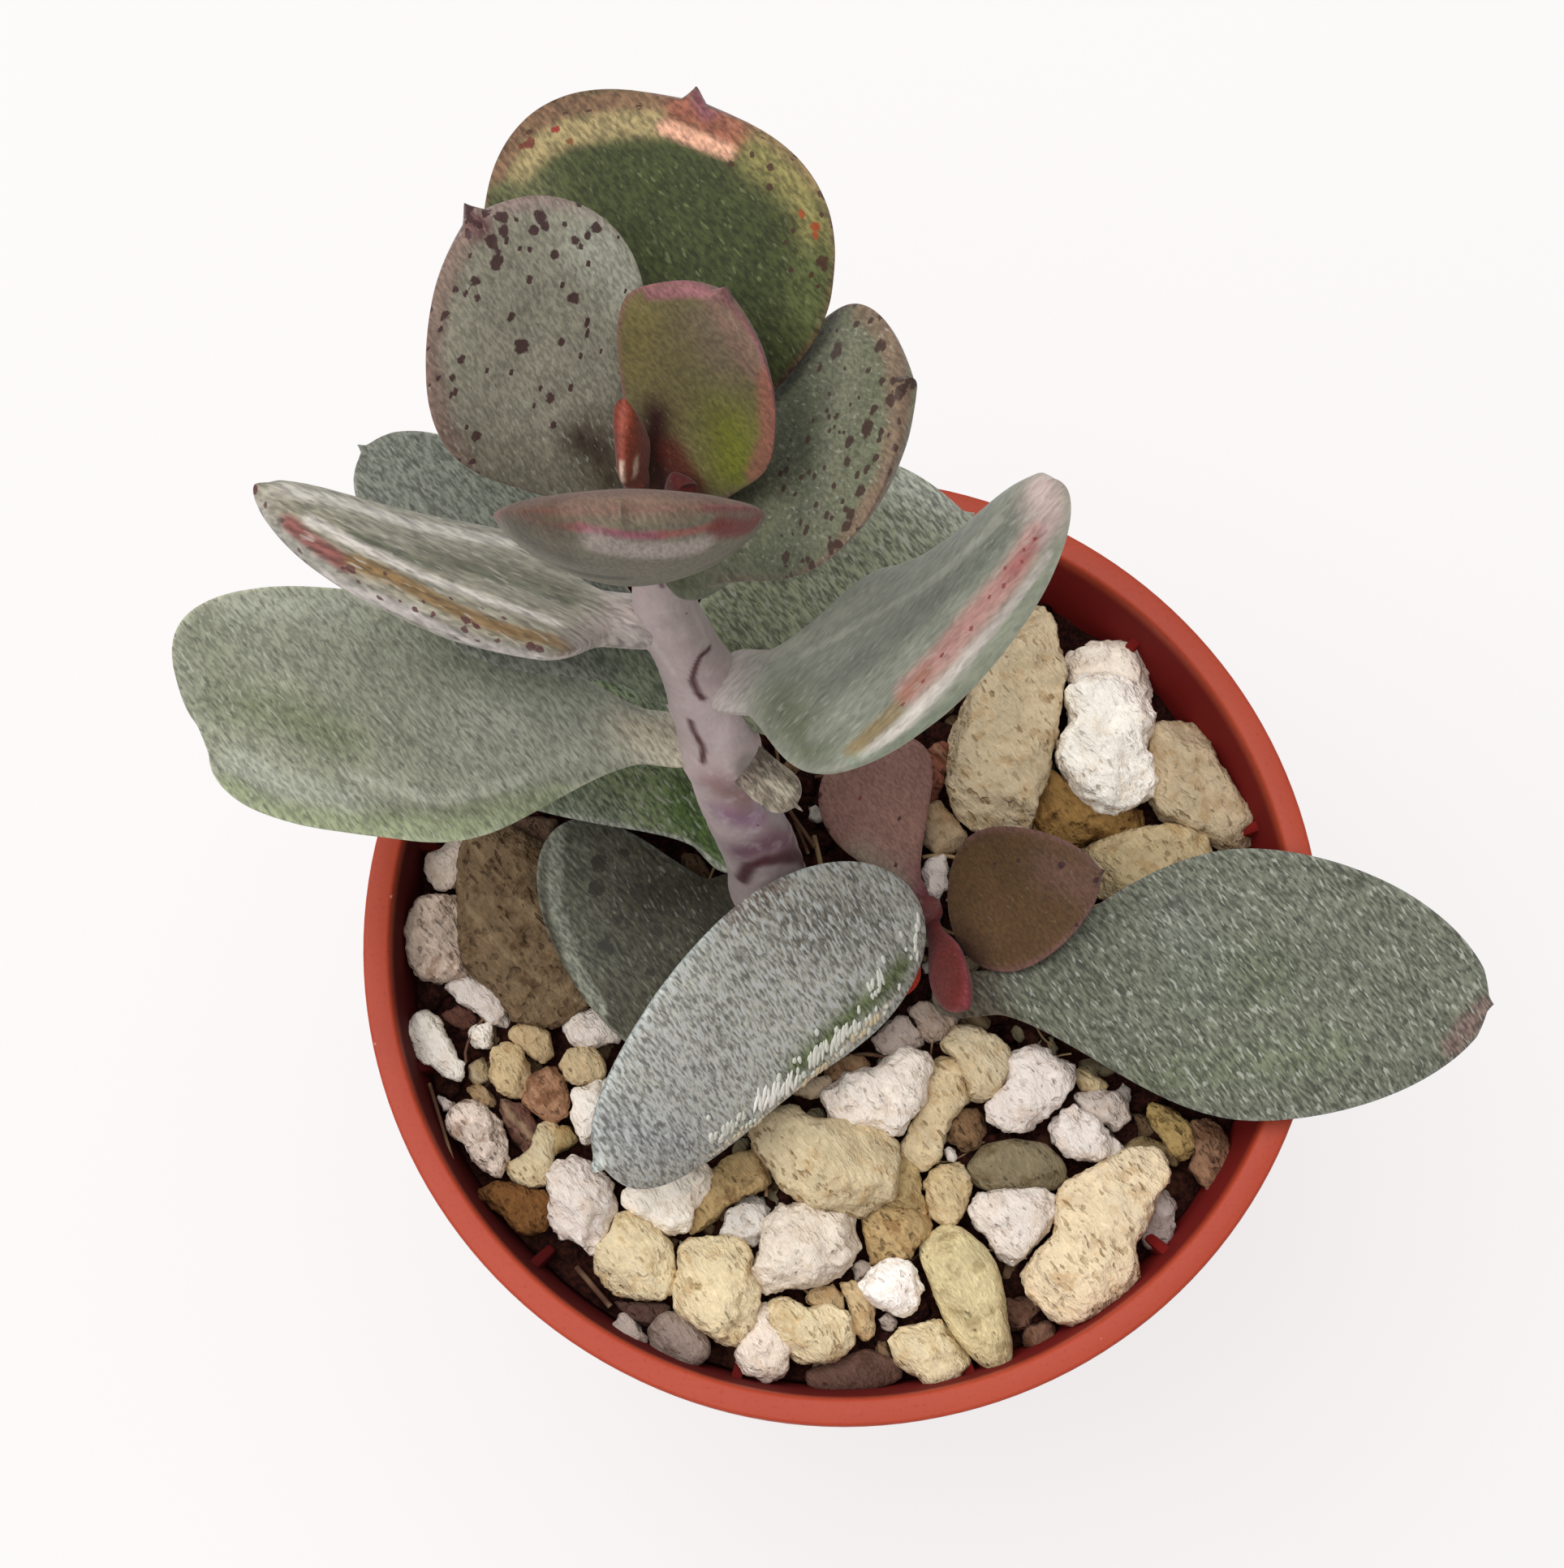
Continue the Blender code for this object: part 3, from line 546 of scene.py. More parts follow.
def stemPlace(route, share):
    # a point, a heading and a radius on the smooth curve through a stem's points
    position = share * (len(route) - 1)
    index = min(int(position), len(route) - 2)
    t = position - index
    places = [Vector(place) for place, _ in route]
    ends = [2 * places[0] - places[1], *places, 2 * places[-1] - places[-2]]
    before, start, end, after = ends[index : index + 4]
    point = 0.5 * (
        2 * start
        + (end - before) * t
        + (2 * before - 5 * start + 4 * end - after) * t**2
        + (3 * start - before - 3 * end + after) * t**3
    )
    along = 0.5 * (
        (end - before)
        + 2 * (2 * before - 5 * start + 4 * end - after) * t
        + 3 * (3 * start - before - 3 * end + after) * t**2
    )
    radius = route[index][1] * (1 - t) + route[index + 1][1] * t
    return point, along.normalized(), radius


def onStem(route, height):
    for (low, lowRadius), (high, highRadius) in zip(route, route[1:]):
        if low[2] <= height <= high[2]:
            share = (height - low[2]) / (high[2] - low[2])
            middle = np.array(low) + share * (np.array(high) - low)
            return middle, lowRadius + (highRadius - lowRadius) * share
    raise ValueError(f"no stem at {height}")


def makeStem(name, paints):
    route = stems[name]
    look = {**stemForm, **stemLooks[name]}
    piece = addBall(name + "Skin", look)
    points = readPoints(piece.data)
    joints = [
        (leaf["height"], leaf["heading"])
        for leaf in leaves.values()
        if "height" in leaf and leaf.get("stem", leafForm["stem"]) == name
    ]
    placed = np.empty_like(points)
    for i, (x, y, z) in enumerate(points):
        share = 1 - math.acos(max(-1.0, min(1.0, z))) / math.pi
        middle, forward, radius = stemPlace(route, share)
        side = Vector((1, 0, 0))
        side = (side - forward * side.dot(forward)).normalized()
        ahead = forward.cross(side)
        flat = math.hypot(x, y)
        out = (side * x + ahead * y) / max(flat, 1e-6)
        turn = math.degrees(math.atan2(out.y, out.x))
        swell = 0.0
        for height, heading in joints:
            beside = math.cos(math.radians((turn - heading) / 2)) ** look["nodePower"]
            above = (middle.z - height + look["nodeDrop"]) / look["nodeReach"]
            swell += look["node"] * beside * math.exp(-(above**2))
        skin = middle + out * look["grainReach"]
        wobble = look["wobble"] * roughness3d(skin, look["broadGrain"])
        wobble += look["fineShare"] * look["wobble"] * roughness3d(skin, look["fineGrain"])
        rim = min(1.0, flat / math.sin(math.pi / look["rings"] * look["endRound"]))
        placed[i] = middle + out * (radius + swell + wobble) * rim
    writePoints(piece.data, placed * mm)
    canvas = Canvas(piece, look["base"])
    for code, width, strength, *pixels in look["strokes"]:
        canvas.stroke(code, width, strength, *pixels)
        if width < look["scarWidth"]:
            canvas.bare(width * look["scarBare"], 1.0, *pixels)
    for across, down, size in look["spots"]:
        canvas.dot(canvas.pin((across, down)), size, look["spotTone"])
    canvas.store()
    piece.data.flip_normals()
    return finishPiece(piece, paints["stem"], name)


def stemPaint():
    skin = stemSkin
    paint = Paint("waxyStem", {"Roughness": 0.5, "Specular IOR Level": 0.4, "Sheen Weight": 0.15})
    fine = paint.grain(paint.streaked(streakHeading, 1.8), 0.22)
    broad = paint.grain(paint.place(), 1.4, detail=3.0)
    tone = skin["tone"] + fine * skin["fineDeep"] + broad * skin["broadDeep"]
    shade = paint.brighter(paint.attribute("tint", "Color"), tone)
    frost = paint.grain(paint.place(), 0.9, detail=3.0).rise(*skin["frostAt"])
    frost = frost * paint.attribute("bloom", "Fac")
    shade = paint.mix(shade, skin["frostTone"], frost * skin["frostDeep"])
    spot = paint.spots(skin["spotEdge"], skin["ragged"])
    shade = paint.mix(shade, stemForm["spotTone"], spot * skin["spotDeep"])
    rough = skin["rough"] - frost * skin["frostGloss"]
    return paint.finish(shade, rough, fine + broad * 2, skin["depth"], skin["strength"])


# The leaves. Each grows from a stem at a height, a gap off it, or starts at a base point. heading and rise
# aim it where it starts, bend and sweep turn it upwards and sideways over its length, roll turns its face
# and twist adds to that. cup folds the margins up, lean shifts the tip sideways, and broad is where it is
# widest. stalk is half the width of its foot, and root is how far the foot is drawn back. mucro is the
# length of the small point at the tip, and point is its width. A stroke is a colour, a width in
# millimetres, a strength and the pixels that it runs through, and a spot is a pixel, a size and a colour.

leafForm = dict(
    stem="main_stem", gap=0.3, bend=0, sweep=0, roll=0, twist=0, cup=0.0, lean=0.0, broad=0.5, tipPower=2.1,
    stalk=1.3, mucro=0.8, point=0.16, roundBase=False, root=1.6, rim=None, foot="A9A596", footEnd=0.14,
    strokes=(), bare=(), spots=(), spotTone="4A2A26", scatter=0, scatterSize=(0.2, 0.6), sprinkle=0,
    sprinkleSize=(0.22, 0.5), wave=0.12, broadWave=4.5, fineWave=1.6, fineShare=0.4, dents=(),
)
# how each leaf's form and colours run along and across it, as shares of its size and as powers
leafCurve = dict(
    stalkEnd=0.066, widening=1.35, roundBase=2.2, pointLength=2.2, pointPower=1.2, stalkDepth=1.25,
    fullDepth=0.45, roundBaseDepth=0.40, tipThins=0.62, upperShare=0.38, marginPower=1.35, leanStart=0.35,
    spineSteps=40, rootRound=0.8, tipRound=2.6, baseRound=2.4, roundPower=0.6, tipLeast=0.25,
    tipLeastPower=0.4, calmUntil=0.2, underAt=0.15, underFade=0.5, edgeRaised=0.35, rimFrom=0.3,
    hiddenFrom=0.35, hiddenBelow=0.2, seenFrom=0.42, seenAbove=0.1,
)

leaves = {
    "leaf_crown_back": dict(
        finish="sunned", slot="sunned_leaf", sides=176, rings=130, height=79.7, gap=0.5, heading=92,
        rise=25, length=21.6, width=19.3, thick=2.6, bend=11, sweep=-14, roll=-26, cup=0.17, lean=0.05,
        broad=0.65, tipPower=2.6, point=0.2, upper="3D4323", under="6C7058", rim=("6A4A3A", 0.35, 0.8),
        strokes=[
            ("38401F", 2.6, 0.7, (800, 250), (900, 340)),
            ("6E6E4C", 1.4, 0.6, (625, 225), (660, 235)),
            ("A08E64", 0.8, 0.9, (640, 205), (665, 182), (700, 163), (760, 150), (810, 150)),
            ("7A5A44", 0.55, 0.85, (612, 212), (640, 163), (690, 134), (760, 122), (840, 120),
             (905, 140)),
            ("7A5A44", 0.5, 0.8, (905, 140), (960, 172), (1005, 225)),
            ("8E5442", 0.8, 0.9, (835, 132), (880, 150), (905, 166)),
            ("DDA68A", 0.38, 1.0, (818, 157), (850, 172), (895, 189)),
            ("8E8450", 0.95, 0.85, (930, 192), (965, 216), (995, 255), (1000, 288)),
            ("62693C", 1.2, 0.6, (1005, 320), (990, 390)),
            ("7C4A54", 0.5, 0.85, (866, 114), (872, 128)),
        ],
        bare=[(1.0, 0.7, (700, 150), (820, 150), (900, 170))],
        spotTone="43281A",
        spots=[
            (682, 160, 0.5, "8E1F1E"), (655, 176, 0.65, "6A2E20"), (643, 181, 0.5, "6A2E20"),
            (700, 177, 0.5, "7A4A28"), (652, 164, 0.4), (786, 130, 0.4), (695, 139, 0.3), (725, 134, 0.3),
            (923, 192, 0.4), (948, 206, 0.5), (899, 205, 0.4), (945, 234, 0.45),
            (985, 264, 0.5, "96431F"), (1004, 278, 0.65, "96431F"), (974, 284, 0.4),
            (1002, 294, 0.4, "96431F"), (1011, 266, 0.3), (1014, 323, 0.8), (998, 337, 0.4),
            (973, 334, 0.35), (964, 303, 0.35), (1008, 352, 0.3), (940, 170, 0.3), (975, 196, 0.3),
        ],
        scatter=40,
    ),
    "leaf_crown_left": dict(
        finish="spotted", slot="spotted_leaf", sides=160, rings=130, height=82.2, gap=0.4, heading=128,
        rise=34.5, length=17.3, width=12.2, thick=2.4, bend=13.5, sweep=5, roll=2, cup=0.15, lean=0.28,
        broad=0.59, tipPower=1.85, stalk=1.7, mucro=1.0, point=0.32, upper="8A8675", under="6F6C5C",
        rim=("6E5A4E", 0.32, 0.85),
        strokes=[
            ("64383C", 0.8, 0.85, (574, 256), (588, 278)),
            ("7A6056", 0.7, 0.75, (562, 290), (536, 360), (527, 440), (541, 520), (572, 572)),
            ("86706A", 0.5, 0.7, (600, 250), (660, 243), (720, 252), (757, 277)),
            # a painted highlight: the upper right of the leaf lit lighter
            ("A8A898", 1.7, 0.85, (735, 300), (772, 345)),
            # the next three strokes are painted shade at the bottom of the leaf, darkest at the lower right
            # near the stem
            ("4E4034", 1.0, 0.5, (742, 520), (748, 560)),
            ("2C1E14", 1.1, 0.95, (712, 540), (735, 560), (752, 595)),
            ("57523F", 1.8, 0.6, (600, 572), (680, 595), (720, 605)),
        ],
        spotTone="3E2224",
        spots=[
            (614, 326, 0.75), (643, 425, 0.95), (618, 266, 0.75), (607, 296, 0.8), (623, 284, 0.65),
            (666, 264, 0.7), (657, 284, 0.6), (671, 278, 0.5), (639, 271, 0.3), (643, 305, 0.3),
            (695, 275, 0.35), (736, 282, 0.6), (711, 299, 0.6), (681, 313, 0.55), (655, 345, 0.5),
            (579, 316, 0.35), (586, 348, 0.55), (591, 367, 0.45), (561, 357, 0.45), (696, 351, 0.35),
            (709, 367, 0.7), (629, 391, 0.55), (723, 396, 0.4), (725, 412, 0.45), (696, 424, 0.5),
            (718, 438, 0.35), (571, 442, 0.5), (546, 391, 0.35), (543, 407, 0.35), (600, 457, 0.35),
            (633, 459, 0.35), (541, 466, 0.4), (557, 467, 0.4), (562, 484, 0.45), (668, 478, 0.3),
            (676, 491, 0.6), (587, 539, 0.6), (685, 526, 0.45),
        ],
        scatter=40, sprinkle=34,
    ),
    "leaf_crown_right": dict(
        finish="spotted", slot="spotted_leaf", sides=160, rings=130, height=81.0, gap=0.5, heading=18.5,
        rise=42, length=17.0, width=13.0, thick=2.4, bend=18, sweep=3, roll=-24, cup=0.12, broad=0.65,
        stalk=3.0, point=0.2, upper="676953", under="6F7058", rim=("6E5646", 0.35, 0.85), foot="5C604A",
        strokes=[
            ("78624F", 0.6, 0.85, (1050, 380), (1088, 405), (1110, 450), (1108, 520), (1093, 590),
             (1062, 640)),
            ("76634F", 0.5, 0.7, (1062, 640), (1030, 675)),
            ("494E39", 1.5, 0.75, (970, 470), (985, 600)),
            ("73735F", 1.1, 0.6, (1040, 420), (1030, 520), (1010, 600)),
            ("565C46", 1.8, 0.6, (930, 690), (960, 700)),
        ],
        spotTone="3A241D",
        spots=[
            (1022, 431, 1.08), (1001, 453, 0.54), (1047, 395, 0.54), (1020, 387, 0.47), (1078, 425, 0.81),
            (1066, 389, 0.41), (1062, 453, 0.41), (1082, 466, 0.54), (1100, 468, 0.54), (1097, 492, 0.74),
            (1060, 524, 1.01), (1039, 544, 0.74), (1070, 504, 0.54), (1078, 540, 0.41), (1012, 504, 0.41),
            (987, 537, 0.54), (1034, 568, 0.61), (1064, 577, 0.61), (1076, 563, 0.47), (1020, 597, 0.47),
            (995, 583, 0.47), (997, 621, 0.47), (1034, 623, 0.47), (1048, 633, 0.68), (1060, 605, 0.68),
            (985, 650, 0.61), (1009, 635, 0.47), (1042, 650, 0.68), (960, 684, 0.74), (993, 698, 0.61),
            (1014, 672, 0.54), (1030, 670, 0.61),
        ],
        scatter=45, sprinkle=70,
    ),
    "leaf_crown_inner": dict(
        finish="young", slot="sunned_leaf", sides=112, rings=90, height=84.8, gap=0.7, heading=57, rise=50,
        length=11.4, width=9.3, thick=2.0, bend=10, sweep=-2, roll=-7, cup=0.23, lean=-0.28, broad=0.58,
        stalk=2.6, tipPower=2.4, mucro=0.7, point=0.34, upper="625938", under="6E5646",
        rim=("8A4F5A", 0.35, 0.9), foot="4A100A",
        strokes=[
            ("6A6034", 1.2, 0.8, (785, 390), (780, 450)),
            ("6C5D4A", 1.3, 0.8, (870, 400), (890, 440)),
            ("666A16", 1.9, 0.95, (900, 540), (910, 580)),
            # the next two strokes are the leaf's dark red deepened with painted shade in the crevice by the
            # buds
            ("2A0400", 0.95, 1.0, (806, 515), (806, 550), (815, 600)),
            ("4A1206", 0.85, 0.9, (826, 560), (850, 600)),
            ("8E5A60", 0.35, 0.85, (800, 362), (850, 359), (893, 364)),
            ("7A5A52", 0.7, 0.6, (885, 375), (905, 410), (925, 450)),
            ("8A5446", 0.6, 0.8, (945, 470), (948, 540), (930, 590)),
        ],
        dents=[((802, 345), 1.6, 0.6)],
    ),
    "leaf_crown_front": dict(
        finish="young", slot="sunned_leaf", sides=144, rings=96, height=84.0, gap=0.8, heading=257,
        rise=82, length=15.4, width=11.9, thick=3.6, bend=-3, sweep=3, roll=11, cup=0.08, lean=-0.04,
        broad=0.57, stalk=1.0, mucro=0.4, upper="64493C", under="6A6452", rim=("74423E", 0.2, 0.8),
        strokes=[
            ("7A6454", 0.7, 0.6, (700, 626), (780, 621), (850, 628)),
            ("8C4C5A", 0.26, 0.95, (712, 652), (760, 660), (818, 662)),
            ("84504C", 0.22, 0.85, (640, 642), (712, 652)),
            ("8E4E46", 0.24, 0.85, (818, 662), (880, 656)),
            ("6C1E10", 0.6, 1.0, (885, 650), (936, 652)),
            ("4A3A28", 1.0, 0.85, (622, 646), (650, 650), (676, 652)),
            ("443C28", 1.0, 0.85, (640, 668), (665, 684), (690, 694)),
            ("9E9289", 0.75, 0.95, (735, 678), (800, 688), (865, 682)),
            ("3A3622", 0.7, 0.85, (700, 712), (760, 722)),
            ("5C573F", 0.7, 0.8, (880, 704), (915, 686)),
        ],
    ),
    "leaf_left_edge_on": dict(
        finish="furrowed", slot="spotted_leaf", sides=160, rings=130, height=76.0, gap=0.5, heading=180,
        rise=17, length=19.6, width=13.0, thick=3.4, bend=10, sweep=-25.5, roll=48, twist=7.5, cup=0.10,
        lean=0.18, broad=0.27, tipPower=1.6, stalk=2.0, mucro=0.5, upper="8C8876", under="A39E92",
        rim=("9A9282", 0.3, 0.5), foot="B3A8A2",
        strokes=[
            ("605C46", 1.2, 0.85, (540, 676), (610, 694), (700, 718)),
            ("565A44", 0.4, 0.8, (440, 652), (540, 690)),
            ("545840", 0.45, 0.8, (560, 686), (650, 715), (705, 732)),
            ("C4BFB4", 0.8, 0.9, (345, 598), (480, 627), (620, 657)),
            ("C9C0BA", 0.7, 0.95, (400, 722), (500, 765), (600, 806), (690, 820)),
            ("7C403C", 0.5, 0.9, (350, 644), (378, 666), (425, 694)),
            ("82663F", 0.55, 0.95, (436, 690), (500, 716), (560, 741), (640, 771), (708, 792)),
            ("CFC8BF", 0.42, 0.85, (385, 640), (440, 665), (530, 702), (620, 735), (690, 760)),
            ("8A8272", 0.8, 0.6, (322, 600), (345, 620)),
            ("B4A9A2", 1.0, 0.85, (720, 800), (752, 772), (785, 740)),
        ],
        spotTone="55302F",
        spots=[
            (437, 705, 0.4), (435, 724, 0.35), (488, 744, 0.3), (510, 756, 0.4), (534, 756, 0.3),
            (578, 760, 0.6), (588, 771, 0.4), (573, 780, 0.5), (611, 797, 0.4), (652, 806, 0.6),
            (664, 807, 0.5), (624, 754, 0.35), (479, 701, 0.3), (520, 739, 0.3), (559, 730, 0.3),
            (600, 743, 0.3), (420, 700, 0.3),
        ],
        scatter=30,
    ),
    "leaf_right_boat": dict(
        finish="smooth", slot="pale_leaf", sides=144, rings=120, height=71.0, heading=-14.5, rise=29.5,
        length=22.7, width=12.4, thick=4.7, bend=31.5, sweep=45.5, roll=-19, twist=-13, cup=0.06,
        lean=-0.70, broad=0.34, tipPower=1.35, stalk=2.0, mucro=0.5, root=1.0, upper="8C8F81",
        under="A0A68D", rim=("B9B6AA", 0.3, 0.5), foot="B8ADA8",
        strokes=[
            ("70746A", 0.8, 0.6, (1010, 850), (1100, 775), (1190, 700), (1245, 640)),
            ("646A50", 1.5, 0.85, (955, 865), (1000, 915)),
            ("A09F90", 0.7, 0.7, (930, 800), (985, 780), (1060, 730)),
            ("979A8C", 0.7, 0.6, (1000, 900), (1100, 830), (1180, 740)),
            ("A9A99C", 0.35, 0.7, (985, 800), (1080, 745), (1170, 690), (1230, 640)),
            ("CEC5BB", 0.36, 0.95, (1296, 690), (1250, 748), (1200, 803), (1150, 853), (1100, 902),
             (1060, 936)),
            ("BC9288", 0.72, 0.95, (1280, 658), (1250, 706), (1200, 762), (1152, 814), (1116, 852)),
            ("A86460", 0.34, 0.85, (1284, 652), (1264, 684), (1240, 714)),
            ("B4847C", 0.30, 0.7, (1240, 714), (1192, 768), (1146, 818)),
            ("A06A54", 0.34, 0.7, (1140, 826), (1108, 862)),
            ("8E7850", 0.42, 0.85, (1100, 872), (1070, 905), (1050, 925)),
            ("8A9880", 0.5, 0.7, (1205, 850), (1150, 895), (1100, 930), (1060, 947)),
            ("D0B6B0", 1.2, 0.85, (1285, 600), (1298, 640)),
        ],
        spotTone="8C4644",
        spots=[
            (1276, 668, 0.3), (1262, 676, 0.25), (1258, 694, 0.3), (1240, 700, 0.2), (1236, 722, 0.25),
            (1216, 738, 0.2), (1196, 776, 0.25), (1160, 806, 0.2), (1136, 838, 0.25), (1108, 868, 0.2),
        ],
    ),
    "leaf_left_broad": dict(
        finish="pale", slot="pale_leaf", sides=128, rings=110, height=64.5, heading=175, rise=11,
        length=25.2, width=14.8, thick=2.8, bend=12, sweep=22, roll=13, cup=0.07, lean=0.30, broad=0.60,
        tipPower=3.6, stalk=1.6, mucro=0.05, root=1.1, upper="898B79", under="8A8C76",
        rim=("B6BA9E", 0.28, 0.9), foot="C6BDA8",
        strokes=[
            ("6C7252", 1.4, 0.7, (290, 865), (350, 880), (420, 905)),
            # a painted sheen: a lighter gloss stroke along the lower part
            ("A3A696", 0.8, 0.6, (290, 935), (350, 965), (430, 985)),
            ("8E9774", 0.85, 0.75, (275, 975), (330, 1003), (450, 1020), (560, 1020), (690, 990)),
            ("9C9E8E", 1.3, 0.6, (290, 745), (430, 740)),
            ("A6A899", 2.6, 0.9, (600, 880), (700, 880), (770, 890)),
            ("C2B9A4", 1.3, 0.9, (780, 895), (840, 925)),
            ("777A66", 1.6, 0.7, (255, 780), (262, 860)),
            # a painted sheen along the lower part of the leaf
            ("A3A594", 0.35, 0.7, (430, 950), (540, 985), (640, 960), (720, 920)),
            ("74785F", 0.5, 0.6, (470, 1000), (560, 1000), (650, 980)),
        ],
        dents=[((250, 904), 1.4, 0.55)],
    ),
    "leaf_right_back": dict(
        finish="stippled", slot="stippled_leaf", sides=112, rings=100, height=67.5, gap=0.4, heading=46,
        rise=0, length=15.5, width=16.4, thick=2.6, bend=-3, sweep=-7, roll=5.5, lean=0.20, broad=0.55,
        tipPower=1.9, stalk=4.2, mucro=0.5, upper="82866F", under="76876F", rim=("97A294", 0.3, 0.6),
        foot="747A60",
        strokes=[
            ("A8AA9E", 1.8, 0.85, (1110, 590), (1165, 620)),
            ("868C70", 2.4, 0.75, (880, 760), (950, 745)),
        ],
    ),
    "leaf_left_back": dict(
        finish="soft", slot="stippled_leaf", sides=112, rings=100, height=69.0, heading=150, rise=-1,
        length=20.7, width=9.6, thick=2.6, bend=1, sweep=-5, roll=7, lean=0.35, broad=0.49, tipPower=2.0,
        mucro=0.5, stalk=1.8, upper="686B60", under="76876F", rim=("8C8F84", 0.3, 0.6), foot="5A6450",
        strokes=[
            ("666A5C", 1.6, 0.6, (600, 600), (650, 620)),
            ("626A56", 1.6, 0.8, (760, 800), (810, 850)),
        ],
    ),
    "leaf_low_left": dict(
        finish="stippled", slot="stippled_leaf", sides=128, rings=120, height=51.2, gap=0.5, heading=133,
        rise=3, length=20.0, width=13.8, thick=2.6, bend=2, sweep=12, roll=2, lean=-0.27, broad=0.59,
        stalk=2.0, mucro=0.5, upper="77845F", under="6B7C5C", rim=("9A9D90", 0.3, 0.9), foot="6C7A56",
        strokes=[
            ("486028", 1.4, 0.9, (838, 985), (872, 1035)),
            ("7A8270", 1.5, 0.8, (700, 985), (750, 1005)),
            ("838E77", 1.8, 0.85, (750, 810), (820, 860)),
            # a painted highlight: the lit rim along the lower margin
            ("A9AC9E", 0.26, 0.95, (700, 1006), (770, 1020), (840, 1036), (870, 1056), (897, 1084)),
        ],
    ),
    "leaf_low_front_left": dict(
        finish="soft", slot="stippled_leaf", sides=112, rings=90, height=49.6, heading=200, rise=0,
        length=10.2, width=15.6, thick=2.6, sweep=9, roll=-4, lean=0.10, broad=0.60, mucro=0.05,
        # the dark upper colour is the leaf's own green with painted shade, as it lies under the leaves
        # above
        stalk=1.8, upper="4E4B3D", under="6B7C5C", rim=("8E9084", 0.5, 0.75), foot="45402F",
        strokes=[
            ("969889", 0.5, 0.9, (686, 1020), (682, 1110), (712, 1200), (740, 1245)),
            ("5E5F52", 1.6, 0.6, (712, 1030), (712, 1110), (742, 1180)),
            # a painted shadow along the right edge, under the leaves above
            ("2C281C", 1.8, 0.9, (800, 1100), (860, 1100), (880, 1120)),
        ],
        spots=[
            (738, 1062, 1.2), (733, 1092, 1.1), (745, 1164, 1.1), (785, 1100, 0.9), (760, 1135, 0.8),
            (812, 1150, 0.8), (770, 1050, 0.7), (800, 1200, 0.7), (840, 1120, 0.7),
        ],
        spotTone="2E2A20",
    ),
    "leaf_front_silver": dict(
        finish="silver", slot="silver_leaf", sides=144, rings=120, base=(4.5, 1.5, 50.3), heading=207.3,
        rise=18, length=24.9, width=11.4, thick=3.7, bend=-2, sweep=17.6, roll=-21, twist=-25, cup=0.07,
        lean=-0.44, broad=0.40, tipPower=2.5, roundBase=True, upper="A4A399", under="77786A",
        rim=("B9C2BE", 0.3, 0.7),
        strokes=[
            ("7F786E", 2.0, 0.6, (980, 1150), (1050, 1120)),
            ("76665C", 1.0, 0.85, (905, 1120), (960, 1090)),
            ("626C48", 0.95, 1.0, (1112, 1190), (1088, 1222), (1056, 1250), (1022, 1280), (984, 1316)),
            ("D8CDB8", 0.20, 0.95, (1098, 1238), (1060, 1280), (1003, 1342), (940, 1392), (880, 1432)),
            ("A4A29E", 1.6, 0.6, (820, 1290), (880, 1330)),
            ("86888C", 1.8, 0.6, (760, 1390), (840, 1410)),
            ("72726A", 1.5, 0.6, (1010, 1150), (1080, 1140)),
        ],
        bare=[(0.9, 1.0, (1112, 1190), (1088, 1222), (1056, 1250), (1022, 1280), (984, 1316))],
    ),
    "leaf_far_right": dict(
        finish="stippled", slot="stippled_leaf", sides=144, rings=120, base=(6.8, -3.3, 48.8), heading=4,
        rise=16, length=30.1, width=15.4, thick=2.8, bend=-18, sweep=-12, roll=4, broad=0.55,
        tipPower=1.82, mucro=0.35, point=0.16, upper="696C5D", under="76876F", rim=("82857A", 0.3, 0.6),
        foot="5A5044",
        strokes=[
            ("7A665E", 0.8, 0.9, (1838, 1245), (1812, 1262), (1790, 1290)),
            ("5C634A", 2.0, 0.6, (1480, 1210), (1560, 1200)),
            ("646B50", 1.6, 0.5, (1420, 1330), (1640, 1290)),
            ("6C6F66", 1.8, 0.5, (1450, 1130), (1480, 1200)),
            ("5A5346", 1.6, 0.9, (1160, 1215), (1215, 1235)),
            ("5A5C4C", 1.6, 0.7, (1270, 1230), (1350, 1210)),
        ],
    ),
    "bud_leaf": dict(
        finish="young", slot="young_leaf", sides=40, rings=36, footEnd=0.05, base=(-10.2, 15.0, 86.2),
        heading=101, rise=60, length=5.2, width=3.0, thick=1.2, roll=60, stalk=0.9, mucro=0.4, root=0.4,
        broad=0.3, tipPower=1.35, upper="823A26", under="743020", rim=("9A5040", 0.25, 0.8),
        foot="5A1008",
        strokes=[
            # two painted glints: pale highlights low on the bud leaf
            ("D8BCA8", 0.16, 0.9, (755, 600), (757, 575)),
            ("D8BCA8", 0.2, 0.9, (790, 590), (792, 572)),
        ],
    ),
    "bud_tip": dict(
        finish="young", slot="young_leaf", sides=32, rings=28, footEnd=0.05, base=(-8.7, 13.9, 86.2),
        heading=20, rise=70, length=2.6, width=2.2, thick=1.2, stalk=0.8, mucro=0.3, root=0.4,
        # these colours are the bud's dark red, deepened with painted shade
        upper="4A0E08", under="4A0E08", foot="3A0A04",
    ),
    "pup_leaf_back": dict(
        finish="young", slot="young_leaf", sides=80, rings=70, stem="pup_stem", height=46.3, heading=120,
        rise=18, length=10.6, width=7.1, thick=1.6, bend=1, sweep=-13, cup=0.04, lean=0.26, broad=0.66,
        stalk=0.7, root=0.7, upper="967065", under="8C6F6A", rim=("8A5F5E", 0.35, 0.6), foot="7A3F44",
        strokes=[
            ("7F3F4C", 0.8, 0.7, (1125, 1080), (1137, 1120)),
            ("AC9C8A", 1.1, 0.85, (1060, 1060), (1100, 1095)),
        ],
        spots=[
